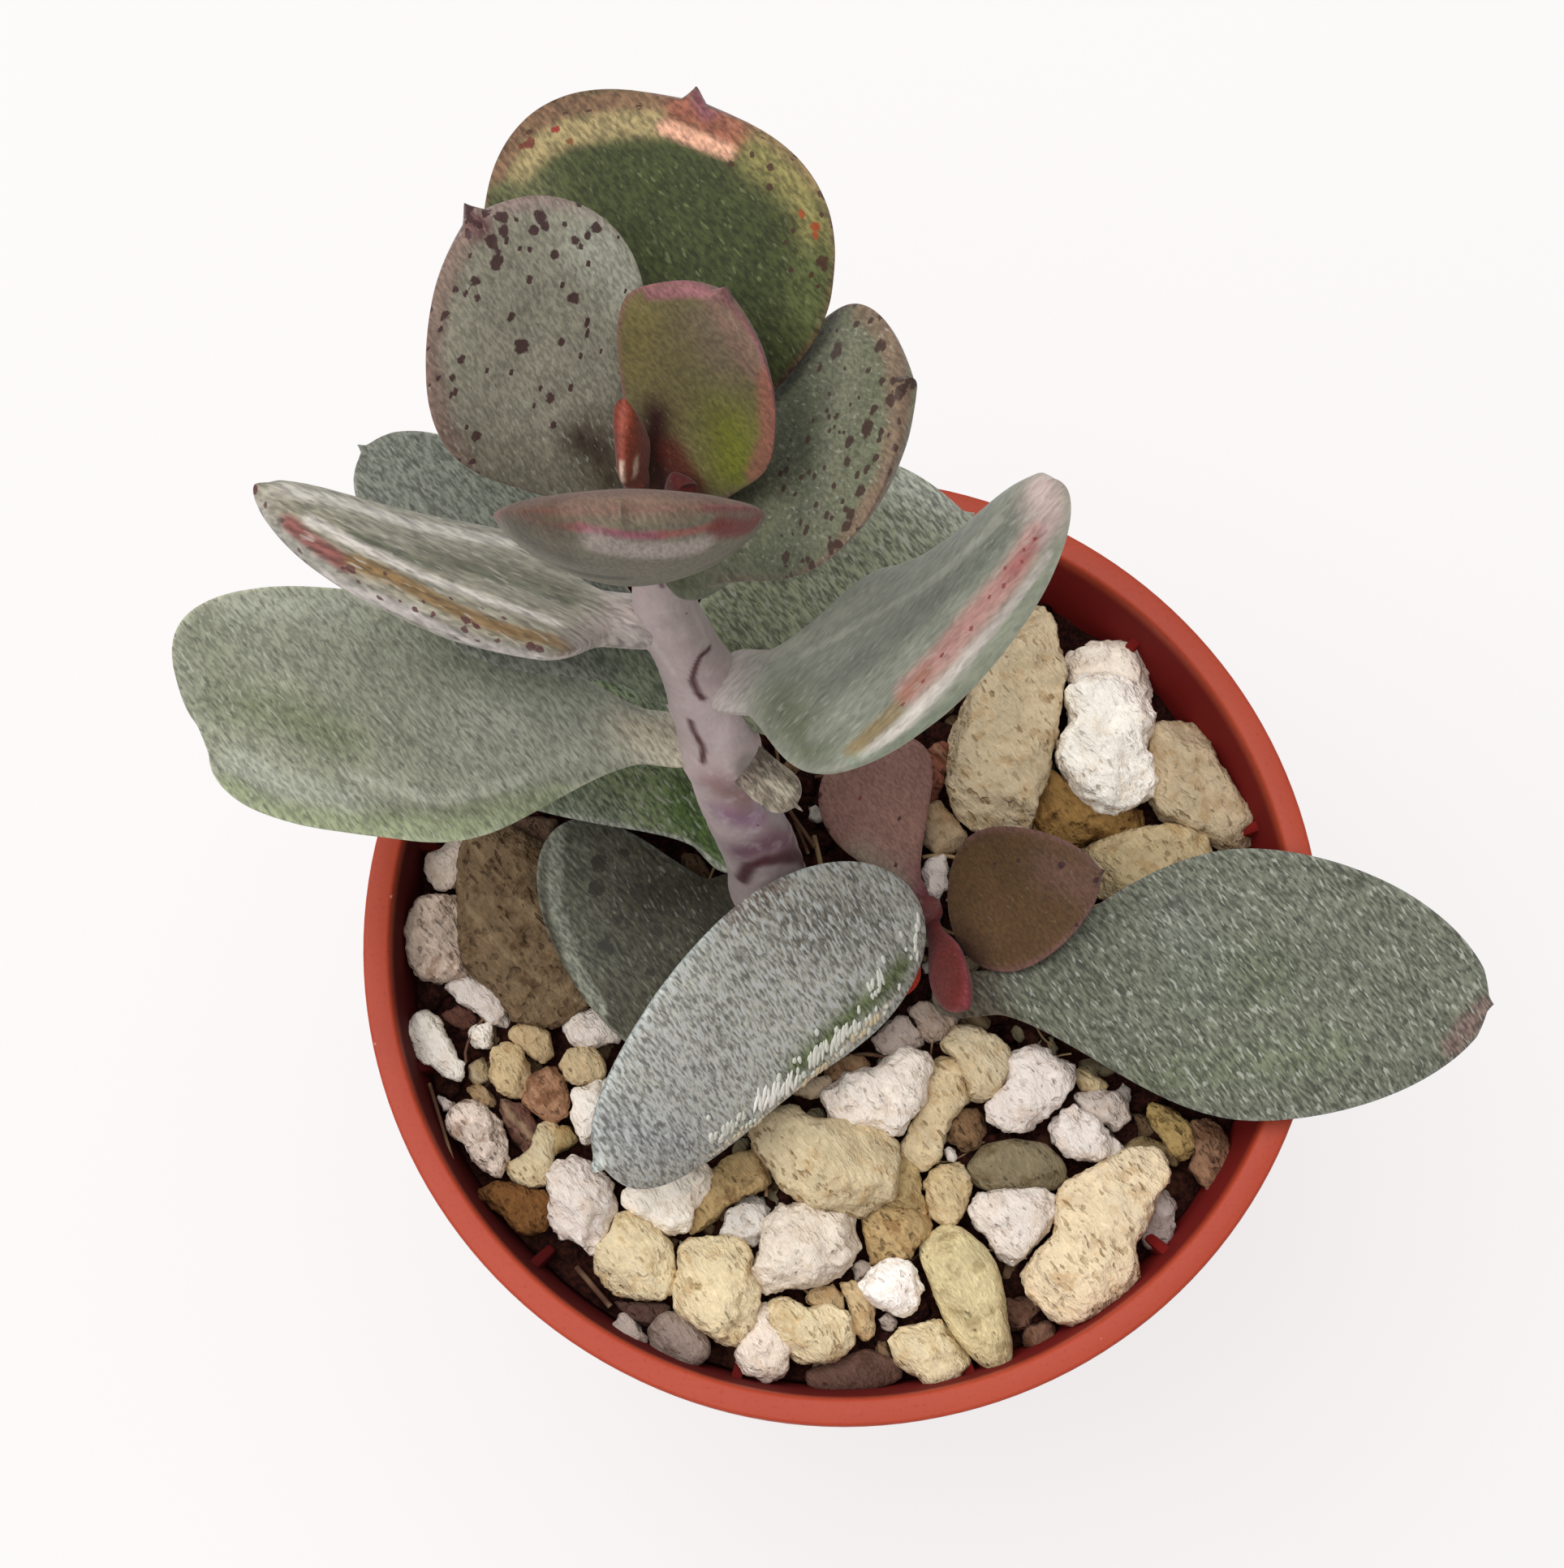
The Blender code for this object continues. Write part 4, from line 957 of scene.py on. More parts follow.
            (1058, 986, 0.3, "8A3040"), (1105, 1068, 0.35, "5A2A34"), (1110, 1008, 0.3),
        ],
        scatter=14,
    ),
    "pup_leaf_right": dict(
        finish="young", slot="young_leaf", sides=96, rings=80, base=(6.1, 2.1, 48.5), heading=-4,
        rise=33.5, length=10.8, width=8.3, thick=1.6, bend=8.5, sweep=12, roll=13, cup=0.22, lean=-0.10,
        broad=0.40, tipPower=1.65, mucro=0.5, roundBase=True, point=0.24, upper="5A4024", under="5E4232",
        rim=("74504C", 0.4, 0.85),
        strokes=[
            ("3A2214", 1.2, 0.8, (1175, 1160), (1195, 1185)),
            ("6E5046", 1.2, 0.7, (1290, 1070), (1330, 1090)),
        ],
        spots=[
            (1306, 1068, 0.5), (1350, 1085, 0.4), (1252, 1062, 0.35), (1326, 1140, 0.3),
            (1222, 1063, 0.3),
        ],
        spotTone="3E2026", scatter=14,
    ),
    "pup_leaf_front": dict(
        finish="young", slot="young_leaf", sides=56, rings=50, footEnd=0.06, stem="pup_stem", height=47.4,
        heading=284, rise=38, length=8.0, width=3.0, thick=1.5, bend=10, roll=47, cup=0.12, stalk=0.6,
        mucro=0.4, root=0.6, upper="6A2420", under="7A3434", rim=("8A3C44", 0.3, 0.7), foot="5A1A20",
        scatter=8,
    ),
    "pup_bud": dict(
        finish="young", slot="young_leaf", sides=32, rings=28, footEnd=0.05, base=(4.2, -0.2, 46.5),
        heading=245, rise=18, length=3.6, width=2.2, thick=1.2, stalk=0.5, mucro=0.3, root=0.4,
        upper="D0402A", under="C03A26", foot="A03020",
    ),
    "dry_leaf_base": dict(
        finish="dry", slot="dry_leaf", sides=96, rings=80, footEnd=0.3, height=64.8, gap=0.3, heading=-40,
        rise=-6, length=3.6, width=2.5, thick=1.5, stalk=1.2, mucro=0.5, root=1.2, upper="8A7F6E",
        under="6A5C4C", rim=("A89C8C", 0.3, 0.8), foot="7C6E62", wave=0.75,
        strokes=[
            ("C2B6A4", 0.35, 0.9, (952, 962), (972, 975)),
            ("5E5240", 0.4, 0.7, (925, 905), (950, 930)),
        ],
    ),
}


def headingVector(heading, rise):
    heading = np.radians(heading)
    rise = np.radians(rise)
    return np.array([np.cos(rise) * np.cos(heading), np.cos(rise) * np.sin(heading), np.sin(rise)])


class LeafShape:
    # a lens-shaped section carried along a curved spine
    def __init__(self, leaf):
        self.s = {**leafForm, **leaf}
        s = self.s
        if "base" in s:
            start = np.array(s["base"])
        else:
            middle, radius = onStem(stems[s["stem"]], s["height"])
            start = middle + headingVector(s["heading"], 0) * (radius + s["gap"])
        self.spine = [start]
        for i in range(leafCurve["spineSteps"]):
            step = self.forward((i + 0.5) / leafCurve["spineSteps"]) * s["length"] / leafCurve["spineSteps"]
            self.spine.append(self.spine[-1] + step)

    def forward(self, along):
        s = self.s
        along = max(along, 0.0)
        return headingVector(s["heading"] + s["sweep"] * along, s["rise"] + s["bend"] * along)

    def axes(self, along):
        forward = Vector(self.forward(along))
        s = self.s
        level = Vector(headingVector(s["heading"] + s["sweep"] * max(along, 0.0) - 90, 0))
        turn = Matrix.Rotation(math.radians(s["roll"] + s["twist"] * max(along, 0.0)), 3, forward)
        return np.array(turn @ level), np.array(turn @ level.cross(forward))

    def middle(self, along):
        if along < 0:
            return self.spine[0] + self.forward(0) * along * self.s["length"]
        position = min(along, 1.0) * leafCurve["spineSteps"]
        index = min(int(position), leafCurve["spineSteps"] - 1)
        return self.spine[index] + (self.spine[index + 1] - self.spine[index]) * (position - index)

    def halfWidth(self, along):
        s = self.s
        curve = leafCurve
        full = s["width"] / 2
        if along > s["broad"]:
            tipStart = 1 - s["mucro"] / s["length"]
            reach = min(1.0, (along - s["broad"]) / (tipStart - s["broad"]))
            blade = full * max(0.0, 1 - reach ** s["tipPower"]) ** (1 / s["tipPower"])
            left = (1 - along) * s["length"] / (curve["pointLength"] * s["mucro"])
            return math.hypot(blade, s["point"] * full * min(1.0, left) ** curve["pointPower"] * reach**4)
        if s["roundBase"]:
            return full * math.sqrt(max(0.0, 1 - (1 - along / s["broad"]) ** curve["roundBase"]))
        if along < 0:
            back = along * s["length"] / s["root"]
            return s["stalk"] * math.sqrt(max(0.0, 1 - curve["rootRound"] * back**2))
        widening = min(1.0, max(0.0, (along - curve["stalkEnd"]) / (s["broad"] - curve["stalkEnd"])))
        return s["stalk"] + (full - s["stalk"]) * math.sin(widening * math.pi / 2) ** curve["widening"]

    def thickness(self, along):
        s = self.s
        curve = leafCurve
        if along > curve["tipThins"]:
            reach = min(1.0, (along - curve["tipThins"]) / (1 - curve["tipThins"]))
            least = curve["tipLeast"] * (1 - along) ** curve["tipLeastPower"]
            return s["thick"] * max((1 - reach ** curve["tipRound"]) ** curve["roundPower"], least)
        if s["roundBase"]:
            reach = 1 - min(along / curve["roundBaseDepth"], 1)
            return s["thick"] * max(0.0, 1 - reach ** curve["baseRound"]) ** curve["roundPower"]
        swell = float(smoothStep(along / curve["fullDepth"]))
        return curve["stalkDepth"] * s["stalk"] * (1 - swell) + s["thick"] * swell


def makeLeaf(name, leaf, paints):
    shape = LeafShape(leaf)
    s = shape.s
    curve = leafCurve
    piece = addBall(name + "Skin", s)
    start = readPoints(piece.data)
    root = 0.0 if s["roundBase"] else s["root"] / s["length"]
    along = -root + (1 + root) * (1 + start[:, 2]) / 2
    flat = np.hypot(start[:, 0], start[:, 1])
    raised = np.where(flat > 1e-5, start[:, 1] / np.maximum(flat, 1e-5), 0.0)
    sideways = np.where(flat > 1e-5, start[:, 0] / np.maximum(flat, 1e-5), 0.0)
    ringAlong, ring = np.unique(np.round(along, 6), return_inverse=True)
    ring = ring.reshape(-1)
    middles, halves, thicks = (
        np.array([measure(a) for a in ringAlong])[ring]
        for measure in (shape.middle, shape.halfWidth, shape.thickness)
    )
    axes = np.array([shape.axes(a) for a in ringAlong])[ring]
    sides, ups = axes[:, 0], axes[:, 1]
    across = sideways * halves
    lean = s["lean"] * s["width"] / 2 * smoothStep((along - curve["leanStart"]) / (1 - curve["leanStart"]))
    share = np.where(raised > 0, curve["upperShare"], 1 - curve["upperShare"])
    lift = np.sign(raised) * np.abs(raised) ** curve["marginPower"] * share * thicks
    lift = lift + s["cup"] * across**2 / (s["width"] / 2)
    placed = middles + sides * (across + lean)[:, None] + ups * lift[:, None]
    broad = np.array([roughness3d(place, s["broadWave"]) for place in placed])
    fine = np.array([roughness3d(place, s["fineWave"]) for place in placed])
    wave = broad + s["fineShare"] * fine
    calm = smoothStep(along / curve["calmUntil"]) * np.minimum(1, halves / s["width"] * 2)
    placed += ups * (s["wave"] * wave * calm)[:, None]
    writePoints(piece.data, placed * mm)
    for at, wide, depth in s["dents"]:
        near = np.linalg.norm(placed - Canvas(piece, s["upper"]).pin(at), axis=1) / wide
        placed -= shape.forward(1) * (depth * np.exp(-(near**2)))[:, None]
        writePoints(piece.data, placed * mm)
    piece.data.flip_normals()
    canvas = Canvas(piece, s["upper"])
    canvas.wash(s["under"], smoothStep((curve["underAt"] - raised) / curve["underFade"]))
    edge = halves * (1 - np.abs(sideways)) + np.abs(raised) * curve["edgeRaised"]
    if s["rim"]:
        code, width, strength = s["rim"]
        edging = strength * np.exp(-((edge / width) ** 2))
        canvas.wash(code, edging * smoothStep(along / curve["rimFrom"]))
    if not s["roundBase"]:
        canvas.wash(s["foot"], smoothStep(1 - along / s["footEnd"]))
        canvas.bloom *= smoothStep(along / s["footEnd"])
    for stroke in s["strokes"]:
        canvas.stroke(*stroke)
    for width, strength, *pixels in s["bare"]:
        canvas.bare(width, strength, *pixels)
    for across, down, size, *tone in s["spots"]:
        canvas.dot(canvas.pin((across, down)), size, tone[0] if tone else s["spotTone"])
    rng = random.Random(name)
    # more spots underneath, and small ones above
    hidden = np.flatnonzero((raised < curve["hiddenBelow"]) & (along > curve["hiddenFrom"]))
    seen = np.flatnonzero((raised > curve["seenAbove"]) & (along > curve["seenFrom"]))
    for count, where, sizes in (("scatter", hidden, "scatterSize"), ("sprinkle", seen, "sprinkleSize")):
        for _ in range(s[count]):
            canvas.dot(canvas.points[rng.choice(where)], rng.uniform(*s[sizes]), s["spotTone"])
    canvas.store()
    return finishPiece(piece, paints[s["finish"]], name)


# Flakes of dried bloom along the lower edge of the silver leaf

flakeLook = dict(
    seed=8, thick=0.14, count=60, size=(0.3, 0.6), spread=9, tone="D2D3C8", heading=-72, width=0.27,
    jitter=2, lengths=(0.6, 1.2), widths=(0.8, 1.3), lumps=(0.8, 1.2), swing=9, lift=0.3, light=0.85,
    deep=0.3,
    # the line that the smallest flakes lie along
    path=[(1122, 1165), (1096, 1215), (1060, 1255), (1020, 1290), (975, 1335), (930, 1375), (880, 1405)],
    # rows of flakes from a pixel to a pixel, with their number, length in mm and colour
    rows=[
        ((986, 1330), (932, 1364), 13, 1.5, "ECE9E0"), ((974, 1344), (944, 1362), 7, 1.0, "F2EFE6"),
        ((1036, 1282), (1000, 1308), 8, 1.3, "DEDCD0"), ((1054, 1262), (1030, 1284), 6, 1.1, "DEDCD0"),
        ((1092, 1200), (1070, 1218), 6, 1.1, "D6D8CC"), ((1138, 1128), (1126, 1176), 9, 0.7, "DADACF"),
        ((914, 1386), (880, 1410), 8, 0.8, "D6D4CA"), ((1086, 1248), (1053, 1282), 9, 0.6, "D2C2A2"),
        ((1024, 1318), (993, 1344), 8, 0.6, "D0C0A0"), ((942, 1386), (900, 1416), 8, 0.4, "D0C4AA"),
    ],
)


def besideLine(rng, start, end, share, spread):
    # a pixel part of the way from start to end, a little off the line
    return [start[k] + (end[k] - start[k]) * share + rng.gauss(0, spread) for k in (0, 1)]


def makeFlakes(leaf):
    look = flakeLook
    rng = random.Random(look["seed"])
    canvas = Canvas(leaf, look["tone"])
    flakes = []
    for start, end, count, long, code in look["rows"]:
        for i in range(count):
            at = besideLine(rng, start, end, (i + 0.5) / count, look["jitter"])
            flakes.append((at, long * rng.uniform(*look["lengths"]), code))
    for _ in range(look["count"]):
        step = rng.randrange(len(look["path"]) - 1)
        at = besideLine(rng, *look["path"][step : step + 2], rng.random(), look["spread"])
        flakes.append((at, rng.uniform(*look["size"]), look["tone"]))
    clearSelection()
    bpy.ops.mesh.primitive_ico_sphere_add(subdivisions=2, radius=0.5)
    mould = bpy.context.object
    copies = []
    for at, long, code in flakes:
        copy = copyOf(mould)
        for vertex in copy.data.vertices:
            vertex.co *= rng.uniform(*look["lumps"])
        # each flake lies flat on the leaf where it is
        index = canvas.seen(at)
        out = leaf.data.vertices[index].normal.copy()
        along = Vector(headingVector(look["heading"] + rng.gauss(0, look["swing"]), 0))
        along = (along - out * along.dot(out)).normalized()
        turn = Matrix((along, out.cross(along), out)).transposed().to_4x4()
        place = Matrix.Translation(Vector(canvas.points[index]) + out * look["thick"] * look["lift"])
        size = Matrix.Diagonal((long, look["width"] * rng.uniform(*look["widths"]), look["thick"], 1))
        copy.data.transform(Matrix.Scale(mm, 4) @ place @ turn @ size)
        addTint(copy, code, 1.0)
        copies.append(copy)
    removeAll([mould])
    piece = joinPieces("bloomFlakes", copies)
    paint = Paint("driedBloom", {"Roughness": 0.85, "Specular IOR Level": 0.2})
    tone = look["light"] + paint.grain(paint.place(), 0.3) * look["deep"]
    shade = paint.brighter(paint.attribute("tint", "Color"), tone)
    return finishPiece(piece, paint.finish(shade))


# The pot

potSizes = dict(
    sides=160, height=50.0, rimRadius=27.5, rimFace=1.5, collarDepth=4.5, undercut=0.4, wall=0.8,
    foot=19.5, footRing=1.8, floor=1.8, recess=1.0, disc=7.5, edgeRound=0.22, ribs=12, ribFirst=16.2,
    ribThick=0.7, ribDepth=1.3, ribTop=47.0, ribBottom=38.0, ribSlope=1.2, drains=6, drainRadius=1.8,
    drainCircle=12.5, recessSlope=0.2, collarEase=0.05, collarRound=0.5, floorRound=1.0, ribRound=0.15,
    ribRoot=0.4, ribTaper=0.8, drainSides=40, drainDeep=8.0, smoothBelow=35,
)
fillSizes = dict(height=45.2, tilt=0.8, mound=0.4, spread=15.0)


def bodyRadius(height):
    p = potSizes
    full = p["rimRadius"] - p["rimFace"] + p["wall"]
    return p["foot"] + (full - p["foot"]) * height / p["height"]


def innerRadius(height):
    return bodyRadius(height) - potSizes["wall"]


def drawOut(profile):
    # draws the selected cap out through rings of a radius at a height
    radius, height = profile[0]
    for nextRadius, nextHeight in profile[1:]:
        lift = (0, 0, (nextHeight - height) * mm)
        bpy.ops.mesh.extrude_region_move(TRANSFORM_OT_translate={"value": lift})
        scale = nextRadius / radius
        bpy.ops.transform.resize(value=(scale, scale, 1), center_override=(0, 0, nextHeight * mm))
        radius, height = nextRadius, nextHeight


def makePot():
    p = potSizes
    top = p["height"]
    collar = top - p["collarDepth"]
    profile = [
        (p["disc"], 0.0),
        (p["disc"] + p["recessSlope"], p["recess"]),
        (p["foot"] - p["footRing"] - p["recessSlope"], p["recess"]),
        (p["foot"] - p["footRing"], 0.0),
        (p["foot"], 0.0),
        (bodyRadius(collar), collar),
        (p["rimRadius"] - p["collarEase"], collar),
        (p["rimRadius"], collar + p["collarRound"]),
        (p["rimRadius"], top),
        (innerRadius(top), top),
        (innerRadius(p["floor"] + p["floorRound"]), p["floor"] + p["floorRound"]),
        (innerRadius(p["floor"]) - p["floorRound"], p["floor"]),
    ]
    clearSelection()
    bpy.ops.mesh.primitive_circle_add(
        vertices=p["sides"], radius=profile[0][0] * mm, fill_type="NGON", location=(0, 0, 0)
    )
    pot = bpy.context.object
    bpy.ops.object.mode_set(mode="EDIT")
    drawOut(profile)
    closeOutwards()
    sharp = math.radians(p["smoothBelow"])
    width = p["edgeRound"] * mm
    addModifier(pot, "BEVEL", width=width, segments=3, limit_method="ANGLE", angle_limit=sharp)
    applyAll(pot)
    ribs = []
    for i in range(p["ribs"]):
        clearSelection()
        bpy.ops.mesh.primitive_cube_add(size=1)
        rib = bpy.context.object
        turn = Matrix.Rotation(math.radians(p["ribFirst"] + i * 360 / p["ribs"]), 4, "Z")
        for corner in rib.data.vertices:
            inner = corner.co.x < 0
            height = (p["ribTop"] - (p["ribSlope"] if inner else 0)) if corner.co.z > 0 else p["ribBottom"]
            radius = innerRadius(height) + (-p["ribDepth"] if inner else p["ribRoot"])
            wide = math.copysign(p["ribThick"] / 2 * (p["ribTaper"] if inner else 1.0), corner.co.y)
            corner.co = turn @ Vector((radius * mm, wide * mm, height * mm))
        addModifier(rib, "BEVEL", width=p["ribRound"] * mm, segments=2, limit_method="NONE")
        applyAll(rib)
        ribs.append(rib)
    drains = []
    for i in range(p["drains"]):
        clearSelection()
        angle = i * 2 * math.pi / p["drains"]
        reach = p["drainCircle"] * mm
        spot = (reach * math.cos(angle), reach * math.sin(angle), p["floor"] * mm / 2)
        bpy.ops.mesh.primitive_cylinder_add(
            vertices=p["drainSides"], radius=p["drainRadius"] * mm, depth=p["drainDeep"] * mm, location=spot
        )
        drains.append(bpy.context.object)
    for tools, operation in ((ribs, "UNION"), (drains, "DIFFERENCE")):
        tool = joinPieces("tool", tools)
        settle(tool)
        addModifier(pot, "BOOLEAN", operation=operation, object=tool, solver="EXACT")
        applyAll(pot)
        removeAll([tool])
    pot.name = "potShell"
    finishPiece(pot, potPaint(), "pot")
    onlySelect([pot])
    bpy.ops.object.shade_smooth_by_angle(angle=sharp)
    return pot


potLook = dict(
    # wall: the inner wall's colours are painted shade, dark red at the left and less dark at the right
    shell=("A43620", "B94C32"), grime="922A17", wall=("4C0000", "76100A"), nick="E0A08C", rough=0.40,
    matt=0.35, wallShift=0.55, wallFade=0.25, rimBelow=0.1, rimFade=1.2, floorAt=1.4, floorFade=0.4,
    wallShadeAcross=26, grimeAt=(0.55, 0.75), grimeDeep=0.35, nickAt=(0.80, 0.84), nickDeep=0.7, broadMatt=0.12,
    fineMatt=0.08, depth=0.02, strength=0.35,
)


def potPaint():
    p = potSizes
    look = potLook
    paint = Paint("terracottaPlastic", {"Roughness": 0.45, "IOR": 1.48, "Specular IOR Level": 0.3})
    place = paint.place()
    broad = paint.grain(place, 9.0, detail=3.0)
    fine = paint.grain(place, 0.25, detail=2.0)
    shade = paint.mix(*look["shell"], broad)
    shade = paint.mix(shade, look["grime"], fine.rise(*look["grimeAt"]) * look["grimeDeep"])
    across, _, height = (paint.node("ShaderNodeSeparateXYZ", {}, {0: place}, output=k) for k in range(3))
    out = paint.node("ShaderNodeVectorMath", {"operation": "LENGTH"}, {0: paint.level(place)}, output=1)
    # painted shade on the wall's inner side, from the floor to just below the rim, darker at the left than
    # at the right
    slope = (innerRadius(p["height"]) - innerRadius(0)) / p["height"]
    inside = (innerRadius(0) + look["wallShift"]) * mm + height * slope - out
    belowRim = (p["height"] - look["rimBelow"]) * mm - height
    aboveFloor = height - look["floorAt"] * mm
    inside = inside.rise(0, look["wallFade"] * mm) * belowRim.rise(0, look["rimFade"] * mm)
    inside = inside * aboveFloor.rise(0, look["floorFade"] * mm)
    side = look["wallShadeAcross"] * mm
    shade = paint.mix(shade, paint.mix(*look["wall"], across.rise(-side, side)), inside)
    nick = paint.grain(place, 0.8, detail=1.0).rise(*look["nickAt"])
    shade = paint.mix(shade, look["nick"], nick * look["nickDeep"])
    rough = look["rough"] + broad * look["broadMatt"] + fine * look["fineMatt"] + inside * look["matt"]
    return paint.finish(shade, rough, fine + broad, look["depth"], look["strength"])


# The potting mix: peat with crumbs, grit and roots

def mixHeight(x, y):
    f = fillSizes
    mound = f["mound"] * math.exp(-(x * x + y * y) / f["spread"] ** 2)
    return f["height"] + mound - f["tilt"] * (x + y) / potSizes["rimRadius"]


peatLook = dict(
    sides=170, rings=70, sunk=1.1, floorGap=0.3, footGap=0.9, wallGap=0.25, rough=0.75, fine=0.45,
)
crumbLook = dict(
    seed=5, moulds=5, count=520, size=(0.35, 1.3), lumps=(0.7, 1.3), longer=(0.8, 1.7), flat=0.6,
    tilt=0.6, reach=24.2, lift=0.3,
)
fibreLook = dict(
    seed=6, count=34, circle=(6, 23.5), length=(2.5, 7), thick=(0.05, 0.13), reach=23.6, rise=(-0.3, 0.9),
    bend=0.9, slope=0.2, handle=0.35, strawSides=8, strawRise=0.5, tones=("5A3A28", "A08660"),
    # straws, from a pixel to a pixel, at a height, with a thickness in mm
    straws=[
        ((529, 1335), (564, 1451), 46.6, 0.22), ((974, 1001), (1004, 1044), 48.5, 0.25),
        ((968, 985), (996, 1052), 48.0, 0.2), ((710, 1561), (752, 1610), 45.4, 0.35),
        ((1003, 1030), (1013, 1072), 48.2, 0.3),
    ],
)


def makePeat():
    look = peatLook
    bottom = potSizes["floor"] + look["floorGap"]
    top = fillSizes["height"]
    low = innerRadius(bottom) - look["footGap"]
    high = innerRadius(top) - look["wallGap"]
    clearSelection()
    bpy.ops.mesh.primitive_circle_add(
        vertices=look["sides"], radius=low * mm, fill_type="NGON", location=(0, 0, bottom * mm)
    )
    peat = bpy.context.object
    settle(peat)
    bpy.ops.object.mode_set(mode="EDIT")
    bpy.ops.mesh.select_all(action="SELECT")
    drawOut([(low, bottom), (high, top)])
    for _ in range(look["rings"]):
        bpy.ops.mesh.inset(thickness=high / (look["rings"] + 1) * mm, depth=0)
    closeOutwards()
    points = readPoints(peat.data) / mm
    for i, (x, y, z) in enumerate(points):
        if z > top - 1:
            rough = look["rough"] * roughness3d((x, y, 3), 1.5) + look["fine"] * roughness3d((x, y, 8), 0.6)
            points[i, 2] = mixHeight(x, y) - look["sunk"] + rough
    writePoints(peat.data, points * mm)
    peat.name = "peatBed"
    return finishPiece(peat, peatPaint(), "potting_mix")


peatSkin = dict(tones=("1C0B08", "4C241A"), dry="6A4430", dryDeep=0.5, depth=0.3, strength=0.8)


def peatPaint():
    paint = Paint("darkPeat", {"Roughness": 0.95, "Specular IOR Level": 0.15})
    place = paint.place()
    broad = paint.grain(place, 2.5, detail=4.0)
    fine = paint.grain(place, 0.35, detail=4.0, rough=0.7)
    shade = paint.mix(*peatSkin["tones"], fine.rise(0.35, 0.75))
    shade = paint.mix(shade, peatSkin["dry"], broad.rise(0.58, 0.72) * peatSkin["dryDeep"])
    relief = fine * 2 + broad
    return paint.finish(shade, height=relief, depth=peatSkin["depth"], strength=peatSkin["strength"])


def makeCrumbs():
    look = crumbLook
    rng = random.Random(look["seed"])
    moulds = []
    for _ in range(look["moulds"]):
        clearSelection()
        bpy.ops.mesh.primitive_cube_add(size=1)
        bpy.ops.object.mode_set(mode="EDIT")
        bpy.ops.mesh.subdivide(number_cuts=1, smoothness=0.8)
        bpy.ops.object.mode_set(mode="OBJECT")
        mould = bpy.context.object
        for vertex in mould.data.vertices:
            vertex.co *= rng.uniform(*look["lumps"])
        moulds.append(mould)
    copies = []
    for _ in range(look["count"]):
        copy = copyOf(rng.choice(moulds))
        x, y = onDisc(rng, look["reach"])
        size = rng.uniform(*look["size"])
        turn = tossed(rng, look["tilt"])
        long = size * rng.uniform(*look["longer"])
        scale = Matrix.Diagonal((long * mm, size * mm, size * look["flat"] * mm, 1))
        height = mixHeight(x, y) - peatLook["sunk"] + look["lift"]
        copy.data.transform(Matrix.Translation(Vector((x, y, height)) * mm) @ turn @ scale)
        copies.append(copy)
    removeAll(moulds)
    crumbs = joinPieces("peatCrumbs", copies)
    return finishPiece(crumbs, peatPaint())


def makeFibres():
    # roots and peat fibres lying on the mix
    look = fibreLook
    rng = random.Random(look["seed"])
    strands = []
    for _ in range(look["count"]):
        clearSelection()
        bpy.ops.curve.primitive_bezier_curve_add()
        strand = bpy.context.object
        radius = rng.uniform(*look["circle"])
        angle = rng.uniform(0, 2 * math.pi)
        heading = rng.uniform(0, 2 * math.pi)
        length = rng.uniform(*look["length"])
        x, y = radius * math.cos(angle), radius * math.sin(angle)
        curve = strand.data
        curve.bevel_depth = rng.uniform(*look["thick"]) * mm
        curve.bevel_resolution = 1
        curve.resolution_u = 10
        curve.use_fill_caps = True
        for point, share in zip(curve.splines[0].bezier_points, (-0.5, 0.5)):
            px = x + share * length * math.cos(heading)
            py = y + share * length * math.sin(heading)
            scale = min(1.0, look["reach"] / max(math.hypot(px, py), 1e-6))
            px, py = px * scale, py * scale
            rise = rng.uniform(*look["rise"])
            point.handle_left_type = point.handle_right_type = "FREE"
            point.co = Vector((px, py, mixHeight(px, py) + rise)) * mm
            turn = heading + rng.uniform(-look["bend"], look["bend"])
            slope = rng.uniform(-look["slope"], look["slope"])
            reach = Vector((math.cos(turn), math.sin(turn), slope)) * length * look["handle"]
            point.handle_left = point.co - reach * mm
            point.handle_right = point.co + reach * mm
        onlySelect([strand])
        bpy.ops.object.convert(target="MESH")
        strands.append(bpy.context.object)
    for first, last, height, thick in look["straws"]:
        clearSelection()
        bpy.ops.mesh.primitive_cylinder_add(vertices=look["strawSides"], radius=thick / 2, depth=1)
        straw = bpy.context.object
        start = Vector(placeAt(first, height))
        end = Vector(placeAt(last, height + look["strawRise"]))
        run = end - start
        turn = run.to_track_quat("Z", "Y").to_matrix().to_4x4()
        place = Matrix.Translation((start + end) / 2) @ turn @ Matrix.Diagonal((1, 1, run.length, 1))
        straw.data.transform(Matrix.Scale(mm, 4) @ place)
        strands.append(straw)
    fibres = joinPieces("rootFibres", strands)
    paint = Paint("dryRoots", {"Roughness": 0.8})
    shade = paint.mix(*look["tones"], paint.grain(paint.place(), 3.0).rise(0.4, 0.6))
    return finishPiece(fibres, paint.finish(shade))


# The grit

